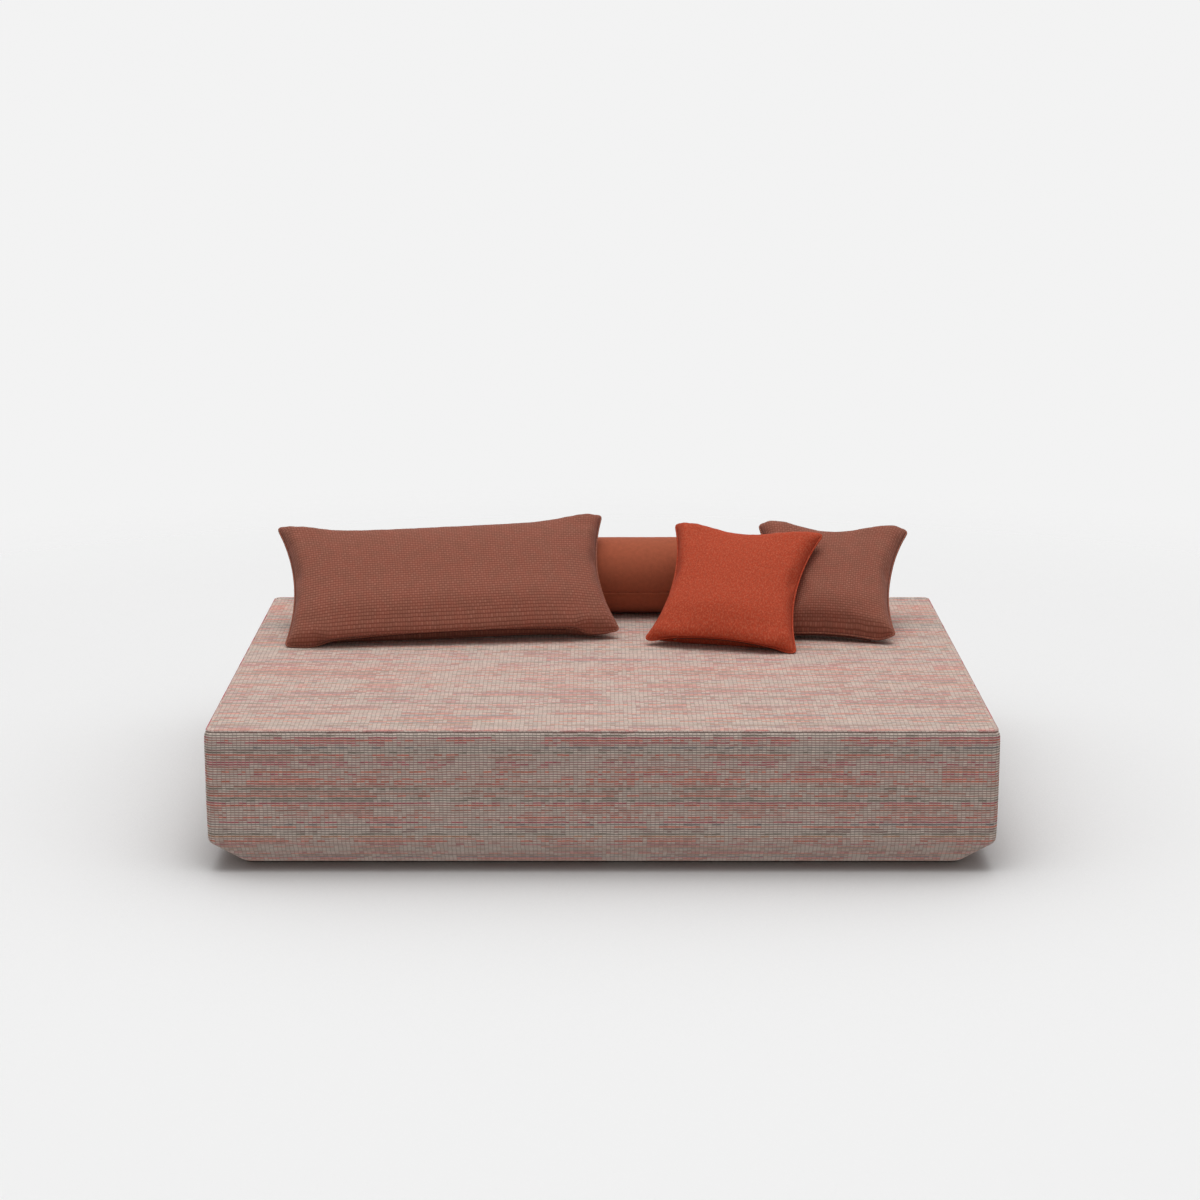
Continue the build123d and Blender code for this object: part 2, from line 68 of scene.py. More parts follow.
class Graph:
    """Short forms for wiring one node tree."""

    def __init__(self, tree: bpy.types.NodeTree) -> None:
        """Keeps the tree that the nodes go into."""
        self.tree = tree

    def node(self, kind: str, **settings: object) -> bpy.types.Node:
        """Adds a node.

        Args:
            kind: Blender's name of the node type.
            settings: properties to set on it.

        Returns:
            The new node.
        """
        made = self.tree.nodes.new(kind)
        for name, value in settings.items():
            setattr(made, name, value)
        return made

    def feed(self, socket: Socket, value: object) -> None:
        """Links a socket to another one's output, or sets its plain value."""
        if isinstance(value, Socket):
            self.tree.links.new(value, socket)
        else:
            socket.default_value = value

    def math(self, operation: str, *values: object, clamp: bool = False) -> Socket:
        """Works out one arithmetic step.

        Args:
            operation: the Math node's operation.
            values: its inputs, sockets or numbers.
            clamp: whether the result is held between 0 and 1.

        Returns:
            The result's socket.
        """
        made = self.node("ShaderNodeMath", operation=operation, use_clamp=clamp)
        for socket, value in zip(made.inputs, values):
            self.feed(socket, value)
        return made.outputs[0]

    def mix(self, share: object, first: object, second: object, blend: str = "MIX") -> Socket:
        """Mixes two colours.

        Args:
            share: how much of the second one shows.
            first: colour socket or red, green, blue and alpha.
            second: the same.
            blend: the Mix node's blend type.

        Returns:
            The mixed colour's socket.
        """
        made = self.node("ShaderNodeMix", data_type="RGBA", blend_type=blend)
        for place, value in ((0, share), (6, first), (7, second)):
            self.feed(made.inputs[place], value)
        return made.outputs[2]

    def vector(self, x: object = 0.0, y: object = 0.0, z: object = 0.0) -> Socket:
        """Joins three numbers or sockets into a vector."""
        made = self.node("ShaderNodeCombineXYZ")
        for socket, value in zip(made.inputs, (x, y, z)):
            self.feed(socket, value)
        return made.outputs[0]

    def split(self, vector: Socket) -> list[Socket]:
        """Splits a vector into its three parts."""
        made = self.node("ShaderNodeSeparateXYZ")
        self.feed(made.inputs[0], vector)
        return list(made.outputs)

    def stretch(self, vector: Socket, scale: tuple[float, float, float]) -> Socket:
        """Multiplies a vector part by part."""
        made = self.node("ShaderNodeVectorMath", operation="MULTIPLY")
        self.feed(made.inputs[0], vector)
        self.feed(made.inputs[1], scale)
        return made.outputs[0]

    def noise(self, vector: object, scale: float, detail: float = 2.0, rough: float = 0.5) -> Socket:
        """Smooth noise from 0 to 1, mostly near 0.5.

        Args:
            vector: where it is read.
            scale: bumps to a metre, or to a unit of the vector.
            detail: octaves.
            rough: how strong the finer octaves are.

        Returns:
            The noise's socket.
        """
        made = self.node("ShaderNodeTexNoise")
        self.feed(made.inputs["Vector"], vector)
        for name, value in (("Scale", scale), ("Detail", detail), ("Roughness", rough)):
            self.feed(made.inputs[name], value)
        return made.outputs["Fac"]

    def chance(self, x: object, y: object = 0.0, z: object = 0.0) -> Socket:
        """A fixed random number from 0 to 1 for each set of whole numbers."""
        made = self.node("ShaderNodeTexWhiteNoise", noise_dimensions="3D")
        self.feed(made.inputs["Vector"], self.vector(x, y, z))
        return made.outputs["Value"]

    def pick(self, low: float, high: float, *numbers: object) -> Socket:
        """A fixed random value from low to high for each set of whole numbers."""
        return self.level(self.chance(*numbers), 0.0, 1.0, low, high)

    def off_middle(self, share: object) -> Socket:
        """How far a share is from a half."""
        return self.math("ABSOLUTE", self.math("SUBTRACT", share, 0.5))

    def dome(self, cell: dict[str, Socket], power: float) -> Socket:
        """A dome over a weave cell.

        Args:
            cell: the weave effect's outputs.
            power: how square the dome is.

        Returns:
            The product, for both ways, of one less that power of the share out from the cell's middle.
        """
        rise = []
        for way in ("Across", "Along"):
            out = self.math("MULTIPLY", self.off_middle(cell[way]), 2.0)
            rise.append(self.math("SUBTRACT", 1.0, self.math("POWER", out, power)))
        return self.math("MULTIPLY", *rise)

    def place(self) -> Socket:
        """The place on the piece, in metres."""
        return self.node("ShaderNodeTexCoord").outputs["Object"]

    def step(self, value: object, edge: object, soft: float) -> Socket:
        """Rises smoothly from 0 to 1 as a value passes an edge.

        Args:
            value: the value.
            edge: where the result is a half.
            soft: half the width of the rise.

        Returns:
            The result's socket.
        """
        past = self.math("SUBTRACT", value, edge)
        made = self.node("ShaderNodeMapRange", interpolation_type="SMOOTHSTEP")
        for socket, item in zip(made.inputs, (past, -soft, soft, 0.0, 1.0)):
            self.feed(socket, item)
        return made.outputs[0]

    def level(self, value: object, low: float, high: float, start: float = 0.0, end: float = 1.0) -> object:
        """Carries a value from one span to another, held inside it.

        Args:
            value: the value.
            low: start of its span.
            high: end of its span.
            start: start of the new span.
            end: end of the new span.

        Returns:
            The result's socket.
        """
        made = self.node("ShaderNodeMapRange")
        for socket, item in zip(made.inputs, (value, low, high, start, end)):
            self.feed(socket, item)
        return made.outputs[0]

    def choose(self, value: object, colours: tuple[tuple[float, float, float], ...]) -> Socket:
        """Picks one of several colours by a number from 0 to 1.

        Args:
            value: the number.
            colours: the colours, each with the same share of the span.

        Returns:
            The chosen colour's socket.
        """
        made = self.node("ShaderNodeValToRGB")
        ramp = made.color_ramp
        ramp.interpolation = "CONSTANT"
        for _ in colours[2:]:
            ramp.elements.new(0.5)
        for place, (element, colour) in enumerate(zip(ramp.elements, colours)):
            element.position = place / len(colours)
            element.color = (*colour, 1.0)
        self.feed(made.inputs[0], value)
        return made.outputs[0]

    def effect(self, group: bpy.types.NodeTree, **values: object) -> dict[str, Socket]:
        """Places a shared effect.

        Args:
            group: the effect's node group.
            values: its inputs by name.

        Returns:
            Its output sockets by name.
        """
        made = self.node("ShaderNodeGroup", node_tree=group)
        for name, value in values.items():
            self.feed(made.inputs[name], value)
        return {socket.name: socket for socket in made.outputs}


def new_group(name: str, inputs: dict[str, str],
              outputs: dict[str, str]) -> tuple[Graph, dict, bpy.types.Node]:
    """Starts a shared effect.

    Args:
        name: the group's name.
        inputs: socket type for each input's name.
        outputs: socket type for each output's name.

    Returns:
        The group's graph, its inputs' sockets by name, and the node that takes its outputs.
    """
    tree = bpy.data.node_groups.new(name, "ShaderNodeTree")
    for way, sockets in (("INPUT", inputs), ("OUTPUT", outputs)):
        for label, kind in sockets.items():
            tree.interface.new_socket(label, in_out=way, socket_type=f"NodeSocket{kind}")
    graph = Graph(tree)
    given = graph.node("NodeGroupInput")
    by_name = {socket.name: socket for socket in given.outputs if socket.name}
    return graph, by_name, graph.node("NodeGroupOutput")


def make_weave_cells() -> bpy.types.NodeTree:
    """Effect that counts the cells of a weave.

    The cloth's place, in metres, is divided by the pitch. The whole part numbers the column and the row, and
    the rest says where in the cell the point is. A slow noise lets the threads wander a little.

    Returns:
        The node group.
    """
    outputs = dict.fromkeys(("Column", "Row", "Across", "Along"), "Float")
    inputs = {"Cloth": "Vector", "Pitch": "Vector", "Slack": "Float"}
    graph, given, taken = new_group("weave_cells", inputs, outputs)
    bend = graph.math("SUBTRACT", graph.noise(given["Cloth"], 26.0), 0.5)
    wander = graph.math("MULTIPLY", bend, given["Slack"])
    count = graph.node("ShaderNodeVectorMath", operation="DIVIDE")
    graph.feed(count.inputs[0], given["Cloth"])
    graph.feed(count.inputs[1], given["Pitch"])
    column, row, _ = graph.split(count.outputs[0])
    for name, part, value in (("Column", "Across", column), ("Row", "Along", row)):
        moved = graph.math("ADD", value, wander)
        whole = graph.math("FLOOR", moved)
        graph.feed(taken.inputs[name], whole)
        graph.feed(taken.inputs[part], graph.math("SUBTRACT", moved, whole))
    return graph.tree


def make_fibre() -> bpy.types.NodeTree:
    """Effect of loose fibres and uneven dye.

    Two noises, one coarse and one five times finer, are added. The sum tints the colour round 1 and gives a
    height.

    Returns:
        The node group.
    """
    inputs = {"Place": "Vector", "Scale": "Float", "Strength": "Float"}
    graph, given, taken = new_group("fibre", inputs, {"Tint": "Float", "Height": "Float"})
    coarse = graph.noise(given["Place"], given["Scale"], 2.0)
    fine = graph.noise(given["Place"], graph.math("MULTIPLY", given["Scale"], 5.0), 1.0)
    both = graph.math("ADD", graph.math("MULTIPLY", coarse, 0.6), graph.math("MULTIPLY", fine, 0.4))
    swing = graph.math("MULTIPLY", graph.math("SUBTRACT", both, 0.5), given["Strength"])
    graph.feed(taken.inputs["Tint"], graph.math("ADD", swing, 1.0))
    graph.feed(taken.inputs["Height"], both)
    return graph.tree


WEAVE_CELLS = make_weave_cells()
FIBRE = make_fibre()

Colour = tuple[float, float, float]


def opaque(colour: Colour) -> tuple[float, float, float, float]:
    """The colour with full cover."""
    return (*colour, 1.0)


# Finishes


@dataclass(frozen=True)
class Finish:
    """One finish: its material's name, the values that are the same all over, and how deep its relief is."""

    name: str
    colour: Colour
    roughness: float = 0.9
    metallic: float = 0.0
    specular: float = 0.25
    sheen: float = 0.0
    relief: float = 0.4 * MM

    def paint(self, graph: Graph) -> tuple[object, object, object]:
        """Works out base colour, height and roughness from the fibre effect."""
        place = graph.place()
        fibre = graph.effect(FIBRE, Place=place, Scale=240.0, Strength=0.3)
        return self.tinted(graph, opaque(self.colour), fibre["Tint"]), fibre["Height"], self.roughness

    def tinted(self, graph: Graph, colour: object, tint: object) -> Socket:
        """The colour times a number."""
        return graph.mix(1.0, colour, graph.vector(tint, tint, tint), "MULTIPLY")

    def cloth(self, graph: Graph) -> Socket:
        """The place on the flat cloth, in metres, from the piece's own map."""
        return graph.node("ShaderNodeUVMap", uv_map="cloth").outputs[0]

    def build(self) -> Material:
        """Makes the material.

        Returns:
            The material, with its plain values on the shader's own sockets.
        """
        material = bpy.data.materials.new(self.name)
        material.use_nodes = True
        graph = Graph(material.node_tree)
        shader = material.node_tree.nodes["Principled BSDF"]
        colour, height, rough = self.paint(graph)
        plain = {
            "Metallic": self.metallic,
            "Specular IOR Level": self.specular,
            "Sheen Weight": self.sheen,
            "Sheen Roughness": 0.45,
        }
        for name, value in plain.items():
            shader.inputs[name].default_value = value
        graph.feed(shader.inputs["Base Color"], colour)
        graph.feed(shader.inputs["Roughness"], rough)
        bump = graph.node("ShaderNodeBump")
        bump.inputs["Strength"].default_value = 0.8
        bump.inputs["Distance"].default_value = self.relief
        graph.feed(bump.inputs["Height"], height)
        graph.feed(shader.inputs["Normal"], bump.outputs[0])
        return material


@dataclass(frozen=True)
class DobbyCloth(Finish):
    """Upholstery cloth: pale ribs up it, and coloured threads across that come to the face in broken runs."""

    column_pitch: float = 11.06 * MM
    row_pitch: float = 6.77 * MM
    # Colour of the painted shade in the gaps between ribs.
    rib_shadow: Colour = (0.3, 0.215, 0.17)
    # Grey-beige of the hidden thread between rows: partly the thread's colour, partly painted valley shade.
    shaded_hidden_thread: Colour = (0.4, 0.33, 0.285)
    block_columns: float = 12.0
    block_rows: float = 7.0
    threads: tuple[Colour, ...] = (
        (0.6, 0.13, 0.075),
        (0.38, 0.155, 0.115),
        (0.17, 0.155, 0.165),
        (0.45, 0.085, 0.11),
        (0.48, 0.23, 0.13),
        (0.2, 0.165, 0.125),
        (0.46, 0.18, 0.15),
        (0.58, 0.115, 0.07),
        (0.26, 0.15, 0.13),
        (0.5, 0.11, 0.09),
    )

    def paint(self, graph: Graph) -> tuple[object, object, object]:
        """Works out the cloth.

        Each row has one thread colour. The cloth is laid out in blocks of a dozen ribs by seven rows, each
        with a random share of ribs that the thread covers. A thread shows over a run of two or three ribs
        where the run's random number is under that share, which a slow noise and the row's own number shift.
        Elsewhere only a dull line parts the rows: the hidden thread's colour, dulled by painted shade in the
        valley between them. Ribs are domes across a column, with painted shade in the gaps between them.

        Returns:
            Colour, height and roughness.
        """
        cloth = self.cloth(graph)
        pitch = (self.column_pitch, self.row_pitch, 1.0)
        cell = graph.effect(WEAVE_CELLS, Cloth=cloth, Pitch=pitch, Slack=0.55)
        column, row = cell["Column"], cell["Row"]
        slow = graph.noise(graph.vector(column, graph.math("MULTIPLY", row, 2.0)), 0.045, 1.0)
        band = graph.math("FLOOR", graph.math("DIVIDE", row, self.block_rows))
        shift = graph.math("MULTIPLY_ADD", graph.chance(band, 7.0), self.block_columns, column)
        block = graph.math("FLOOR", graph.math("DIVIDE", shift, self.block_columns))
        run_start = graph.math("MULTIPLY_ADD", graph.chance(row, 13.0), 9.0, column)
        run = graph.math("FLOOR", graph.math("DIVIDE", run_start, graph.pick(1.3, 3.4, row, 17.0)))
        share = graph.pick(0.08, 0.85, block, band, 3.0)
        share = graph.math("ADD", share, graph.level(slow, 0.3, 0.7, -0.28, 0.28))
        share = graph.math("ADD", share, graph.pick(-0.25, 0.25, row, 19.0))
        shows = graph.step(share, graph.chance(run, row, 23.0), 0.02)
        gap = graph.step(graph.off_middle(cell["Across"]), 0.41, 0.08)
        away = graph.off_middle(cell["Along"])
        line = graph.math("SUBTRACT", 1.0, graph.step(away, 0.24, 0.12))
        dash = graph.math("SUBTRACT", 1.0, graph.step(away, 0.28, 0.1))
        shade = graph.pick(0.84, 1.14, column, row, 2.0)
        soft_gap = graph.math("MULTIPLY", gap, 0.6)
        # Painted shade darkens the gaps between ribs.
        rib = graph.mix(soft_gap, self.tinted(graph, opaque(self.colour), shade), opaque(self.rib_shadow))
        thread = graph.choose(graph.chance(row, 1.0), self.threads)
        # Dull line between rows: the row's thread mixed with painted valley shade.
        hidden = graph.mix(0.4, opaque(self.shaded_hidden_thread), thread)
        dull = graph.mix(line, rib, hidden)
        over = graph.math("MULTIPLY", dash, graph.level(gap, 0.0, 1.0, 0.92, 0.5))
        between = graph.mix(0.22, rib, thread)
        bright = graph.mix(over, between, self.tinted(graph, thread, shade))
        colour = graph.mix(shows, dull, bright)
        fibre = graph.effect(FIBRE, Place=cloth, Scale=420.0, Strength=0.35)
        rib_height = graph.math("SUBTRACT", 1.0, gap)
        row_height = graph.math("SUBTRACT", 1.0, graph.math("MULTIPLY", line, 0.6))
        dome = graph.math("MULTIPLY", rib_height, row_height)
        height = graph.math("ADD", dome, graph.math("MULTIPLY", fibre["Height"], 0.35))
        return self.tinted(graph, colour, fibre["Tint"]), height, self.roughness


@dataclass(frozen=True)
class BasketCloth(Finish):
    """Coarse plain weave in two close colours, with a painted highlight on the tips where the upright threads
    come up.
    """

    cell: tuple[float, float, float] = (8.1 * MM, 8.9 * MM, 1.0)
    # Colour of the painted highlight on the dome tops.
    tip_highlight: Colour = (0.43, 0.175, 0.12)
    # Colour of the painted shade in the valleys between threads.
    valley_shade: Colour = (0.13, 0.036, 0.023)
    warm: Colour = (0.32, 0.1, 0.064)

    def paint(self, graph: Graph) -> tuple[object, object, object]:
        """Works out the weave.

        The cell numbers' sum is even where an upright thread is on top and odd where a level one is. Both
        are domes, the product of a parabola across and one along. Their tops get a painted highlight, most on
        the upright threads. Dark lines of painted shade part the rows and the threads' sides, and a slow
        noise mixes two dyes.

        Returns:
            Colour, height and roughness.
        """
        cloth = self.cloth(graph)
        cell = graph.effect(WEAVE_CELLS, Cloth=cloth, Pitch=self.cell, Slack=0.3)
        both = graph.math("ADD", cell["Column"], cell["Row"])
        odd = graph.math("FLOORED_MODULO", both, 2.0)
        across, along = graph.off_middle(cell["Across"]), graph.off_middle(cell["Along"])
        dome = graph.dome(cell, 2.6)
        dye = graph.step(graph.noise(graph.vector(cell["Column"], cell["Row"]), 0.19, 3.0), 0.5, 0.12)
        base = graph.mix(dye, opaque(self.colour), opaque(self.warm))
        # Painted highlight: lighter towards the top of each dome, most on the upright threads.
        light = graph.math("MULTIPLY", graph.level(odd, 0.0, 1.0, 1.0, 0.4), graph.step(dome, 0.5, 0.5))
        shade = graph.pick(0.25, 0.7, cell["Column"], cell["Row"])
        tipped = graph.mix(graph.math("MULTIPLY", light, shade), base, opaque(self.tip_highlight))
        # Painted shade along the row edges and the threads' sides.
        dark = graph.math("MULTIPLY", graph.step(along, 0.38, 0.12), graph.level(odd, 0.0, 1.0, 0.55, 0.75))
        side = graph.math("MULTIPLY", graph.step(across, 0.42, 0.08), 0.45)
        colour = graph.mix(graph.math("MAXIMUM", dark, side), tipped, opaque(self.valley_shade))
        fibre = graph.effect(FIBRE, Place=cloth, Scale=500.0, Strength=0.3)
        height = graph.math("ADD", dome, graph.math("MULTIPLY", fibre["Height"], 0.25))
        return self.tinted(graph, colour, fibre["Tint"]), height, self.roughness


@dataclass(frozen=True)
class FeltCloth(Finish):
    """Brushed wool cloth with uneven dye, in soft flecks drawn out up the cloth."""

    fleck: Colour = (0.53, 0.12, 0.06)
    deep: Colour = (0.36, 0.04, 0.018)
    grain: tuple[float, float, float] = (190.0, 130.0, 1.0)

    def paint(self, graph: Graph) -> tuple[object, object, object]:
        """Works out the cloth: two stretched noises pick pale and deep flecks, and fibres roughen both.

        Returns:
            Colour, height and roughness.
        """
        cloth = self.cloth(graph)
        drawn = graph.stretch(cloth, self.grain)
        pale = graph.step(graph.noise(drawn, 1.0, 3.0, 0.6), 0.53, 0.12)
        dark = graph.step(graph.noise(drawn, 1.7, 3.0, 0.6), 0.55, 0.12)
        flecked = graph.mix(graph.math("MULTIPLY", pale, 0.8), opaque(self.colour), opaque(self.fleck))
        colour = graph.mix(graph.math("MULTIPLY", dark, 0.7), flecked, opaque(self.deep))
        fibre = graph.effect(FIBRE, Place=cloth, Scale=260.0, Strength=0.8)
        blotch = graph.effect(FIBRE, Place=graph.stretch(cloth, (1.0, 0.7, 1.0)), Scale=85.0, Strength=0.55)
        tint = graph.math("MULTIPLY", fibre["Tint"], blotch["Tint"])
        return self.tinted(graph, colour, tint), fibre["Height"], self.roughness


@dataclass(frozen=True)
class PlainCloth(Finish):
    """Fine flat-woven cloth with a slight mottle."""

    thread: tuple[float, float, float] = (1.6 * MM, 1.6 * MM, 1.0)

    def paint(self, graph: Graph) -> tuple[object, object, object]:
        """Works out the cloth: small domes where threads cross, with painted shade between them, and fibres
        of two sizes in the dye.

        Returns:
            Colour, height and roughness.
        """
        cloth = self.cloth(graph)
        cell = graph.effect(WEAVE_CELLS, Cloth=cloth, Pitch=self.thread, Slack=0.5)
        dome = graph.dome(cell, 3.0)
        coarse = graph.effect(FIBRE, Place=cloth, Scale=70.0, Strength=0.65)
        fine = graph.effect(FIBRE, Place=cloth, Scale=520.0, Strength=0.5)
        tint = graph.math("MULTIPLY", coarse["Tint"], fine["Tint"])
        # Painted shade: darker between the thread crossings, over the fibres' own mottle.
        woven = graph.math("MULTIPLY", tint, graph.level(dome, 0.0, 1.0, 0.8, 1.05))
        height = graph.math("ADD", graph.math("MULTIPLY", dome, 0.6), fine["Height"])
        return self.tinted(graph, opaque(self.colour), woven), height, self.roughness


@dataclass(frozen=True)
class Timber(Finish):
    """Planed board: long grain with darker late wood, and fine pores."""

    late: Colour = (0.4, 0.25, 0.13)
    run: tuple[float, float, float] = (5.0, 60.0, 60.0)

    def paint(self, graph: Graph) -> tuple[object, object, object]:
        """Works out the wood: noise drawn out along the board bends the rings, and finer noise marks pores.

        Returns:
            Colour, height and roughness.
        """
        place = graph.place()
        drawn = graph.stretch(place, self.run)
        rings = graph.math("FRACT", graph.math("MULTIPLY", graph.noise(drawn, 0.35, 3.0), 9.0))
        grain = graph.math("MULTIPLY", graph.step(rings, 0.7, 0.25), 0.55)
        pores = graph.noise(graph.stretch(drawn, (1.0, 6.0, 6.0)), 1.0, 2.0)
        colour = graph.mix(grain, opaque(self.colour), opaque(self.late))
        tint = graph.level(pores, 0.3, 0.7, 0.82, 1.08)
        return self.tinted(graph, colour, tint), pores, graph.level(pores, 0.3, 0.7, 0.7, 0.5)


@dataclass(frozen=True)
class Porous(Finish):
    """Foam: open cells that pit the surface, with painted shade in the pits."""

    cells: float = 700.0

    def paint(self, graph: Graph) -> tuple[object, object, object]:
        """Works out the pores from the distance to scattered points, with a slow tint over them.

        Returns:
            Colour, height and roughness.
        """
        place = graph.place()
        pores = graph.node("ShaderNodeTexVoronoi", feature="F1")
        graph.feed(pores.inputs["Vector"], place)
        pores.inputs["Scale"].default_value = self.cells
        fibre = graph.effect(FIBRE, Place=place, Scale=30.0, Strength=0.25)
        distance = pores.outputs["Distance"]
        # Painted shade: darker near the pores' middles, where the surface is pitted.
        tint = graph.math("MULTIPLY", fibre["Tint"], graph.level(distance, 0.0, 0.8, 0.85, 1.05))
        return self.tinted(graph, opaque(self.colour), tint), distance, self.roughness


@dataclass(frozen=True)
class RibbedTape(Finish):
    """Zip or hook tape: close ribs across, cut by a row of teeth or hooks."""

    rib: tuple[float, float, float] = (1.2 * MM, 1.2 * MM, 1.2 * MM)

    def paint(self, graph: Graph) -> tuple[object, object, object]:
        """Works out the ribs: the place is counted in cells, and each cell is a dome across and along, with
        painted shade between the domes and a painted highlight on their tops.

        Returns:
            Colour, height and roughness.
        """
        place = graph.place()
        cell = graph.effect(WEAVE_CELLS, Cloth=place, Pitch=self.rib, Slack=0.0)
        dome = graph.dome(cell, 2.0)
        # Painted shade and highlight: darker between the ribs, lighter on their tops.
        tint = graph.level(dome, 0.0, 1.0, 0.6, 1.25)
        return self.tinted(graph, opaque(self.colour), tint), dome, self.roughness


@dataclass(frozen=True)
class Metal(Finish):
    """Plated or plain metal with fine brushing and dull patches."""

    brushing: tuple[float, float, float] = (900.0, 120.0, 900.0)

    def paint(self, graph: Graph) -> tuple[object, object, object]:
        """Works out the metal: drawn-out noise scratches it, and slow noise dulls it in patches.

        Returns:
            Colour, height and roughness.
        """
        place = graph.place()
        scratch = graph.noise(graph.stretch(place, self.brushing), 1.0, 3.0)
        patch = graph.noise(place, 90.0, 3.0)
        rough = graph.math("ADD", graph.level(patch, 0.35, 0.65, 0.0, 0.18), self.roughness)
        tint = graph.level(patch, 0.3, 0.7, 0.85, 1.05)
        return self.tinted(graph, opaque(self.colour), tint), scratch, rough


# Meshes


def grid_quads(rows: int, columns: int, closed: bool = False) -> np.ndarray:
    """Corner numbers of the quads of a grid of points that is stored row after row.

    Args:
        rows: rows of points.
        columns: points in a row.
        closed: whether the last column joins the first.

    Returns:
        One row of four numbers for each quad, turning from the way along a row to the way up the rows.
    """
    first = np.arange(rows - 1)[:, None] * columns
    here = np.arange(columns if closed else columns - 1)[None, :]
    following = (here + 1) % columns
    corners = [first + here, first + following, first + columns + following, first + columns + here]
    return np.stack(corners, -1).reshape(-1, 4)


def ripple(place: np.ndarray, lengths: tuple[float, ...], seed: int) -> np.ndarray:
    """Uneven waves along a line.

    The mean of cosines, one for each wave length, each with its own seeded start and a length changed by up
    to a fifth.

    Args:
        place: distances along the line.
        lengths: wave lengths.
        seed: picks the starts.

    Returns:
        Heights from -1 to 1, in the shape of place.
    """
    dice = np.random.default_rng(seed)
    waves = [np.cos(place * math.tau / (length * dice.uniform(0.8, 1.2)) + dice.uniform(0, math.tau))
             for length in lengths]
    return np.mean(waves, axis=0)


def bell(value: np.ndarray, middle: float, width: float | np.ndarray) -> np.ndarray:
    """One at the middle, falling as e to the minus square of the distance from it in widths."""
    return np.exp(-(((value - middle) / width) ** 2))


def run_along(line: np.ndarray) -> np.ndarray:
    """Distance from a line's first point to each of its points, along the line."""
    return np.concatenate([[0.0], np.cumsum(np.linalg.norm(np.diff(line, axis=0), axis=1))])


@contextmanager
def open_mesh(mesh: bpy.types.Mesh) -> Iterator[bmesh.types.BMesh]:
    """Lends a mesh for editing, and then writes the changes back."""
    shell = bmesh.new()
    shell.from_mesh(mesh)
    yield shell
    shell.to_mesh(mesh)
    shell.free()


def make_piece(name: str, points: np.ndarray, faces: np.ndarray, finish: Material, cloth: np.ndarray,
               mend: bool = False) -> Piece:
    """Makes a smooth piece from points and faces.

    Args:
        name: the piece's name.
        points: one row of x, y and z for each point.
        faces: one row of corner numbers for each face.
        finish: its material.
        cloth: the place on the flat cloth, in metres, for each corner of each face.
        mend: whether a closed mesh's faces are turned outwards.

    Returns:
        The piece's object, at the origin.
    """
    mesh = bpy.data.meshes.new(name)
    mesh.from_pydata(points.reshape(-1, 3).tolist(), [], faces.tolist())
    layer = mesh.uv_layers.new(name="cloth")
    layer.data.foreach_set("uv", cloth.reshape(-1).astype(np.float32))
    mesh.polygons.foreach_set("use_smooth", np.ones(len(mesh.polygons), bool))
    mesh.materials.append(finish)
    if mend:
        with open_mesh(mesh) as shell:
            bmesh.ops.recalc_face_normals(shell, faces=shell.faces)
    mesh.update()
    piece = bpy.data.objects.new(name, mesh)
    bpy.context.scene.collection.objects.link(piece)
    LOG.info("%s: %d points, %d faces", name, len(mesh.vertices), len(mesh.polygons))
    return piece


def add_modifier(piece: Piece, kind: str, **settings: object) -> None:
    """Adds a finishing modifier with its settings."""
    made = piece.modifiers.new(kind.lower(), kind)
    for name, value in settings.items():
        setattr(made, name, value)


def tube(path: np.ndarray, radius: float, across: np.ndarray, sides: int = 10) -> tuple[np.ndarray, ...]:
    """A round tube along a closed path.

    Round each point of the path stands a ring: the path's point plus the radius times the cosine of the turn
    along the side direction and its sine along the upright one. The side direction is square to the path and
    to across.

    Args:
        path: one row for each point of the path.
        radius: the tube's radius.
        across: direction that the path keeps square to, roughly.
        sides: points in a ring.

    Returns:
        Points, faces, and the cloth's place at each face corner.
    """
    ahead = np.roll(path, -1, 0) - np.roll(path, 1, 0)
    ahead /= np.linalg.norm(ahead, axis=1, keepdims=True)
    side = np.cross(ahead, across)
    side /= np.linalg.norm(side, axis=1, keepdims=True)
    upright = np.cross(side, ahead)
    turn = np.arange(sides) * math.tau / sides
    ring = side[:, None] * np.cos(turn)[None, :, None] + upright[:, None] * np.sin(turn)[None, :, None]
    points = path[:, None] + radius * ring
    count = len(path)
    quads = grid_quads(count + 1, sides, True)
    run = run_along(np.concatenate([path, path[:1]]))
    row, column = quads // sides, quads % sides
    column = np.where((column == 0) & (np.max(column, 1, keepdims=True) == sides - 1), sides, column)
    cloth = np.stack([run[row], column * math.tau * radius / sides], -1)
    return points, quads % (count * sides), cloth


# Pouf


# Distances down from the seam of a side panel's first rows, and in from the edge of the wadding's flat top
NEAR_SEAM = np.array([0.0, 1.0, 2.0, 3.2, 4.6, 6.3, 8.5]) * MM
LID_PLACES = np.array([800, 600, 400, 200, 100, 50, 25, 12, 6, 2]) * MM


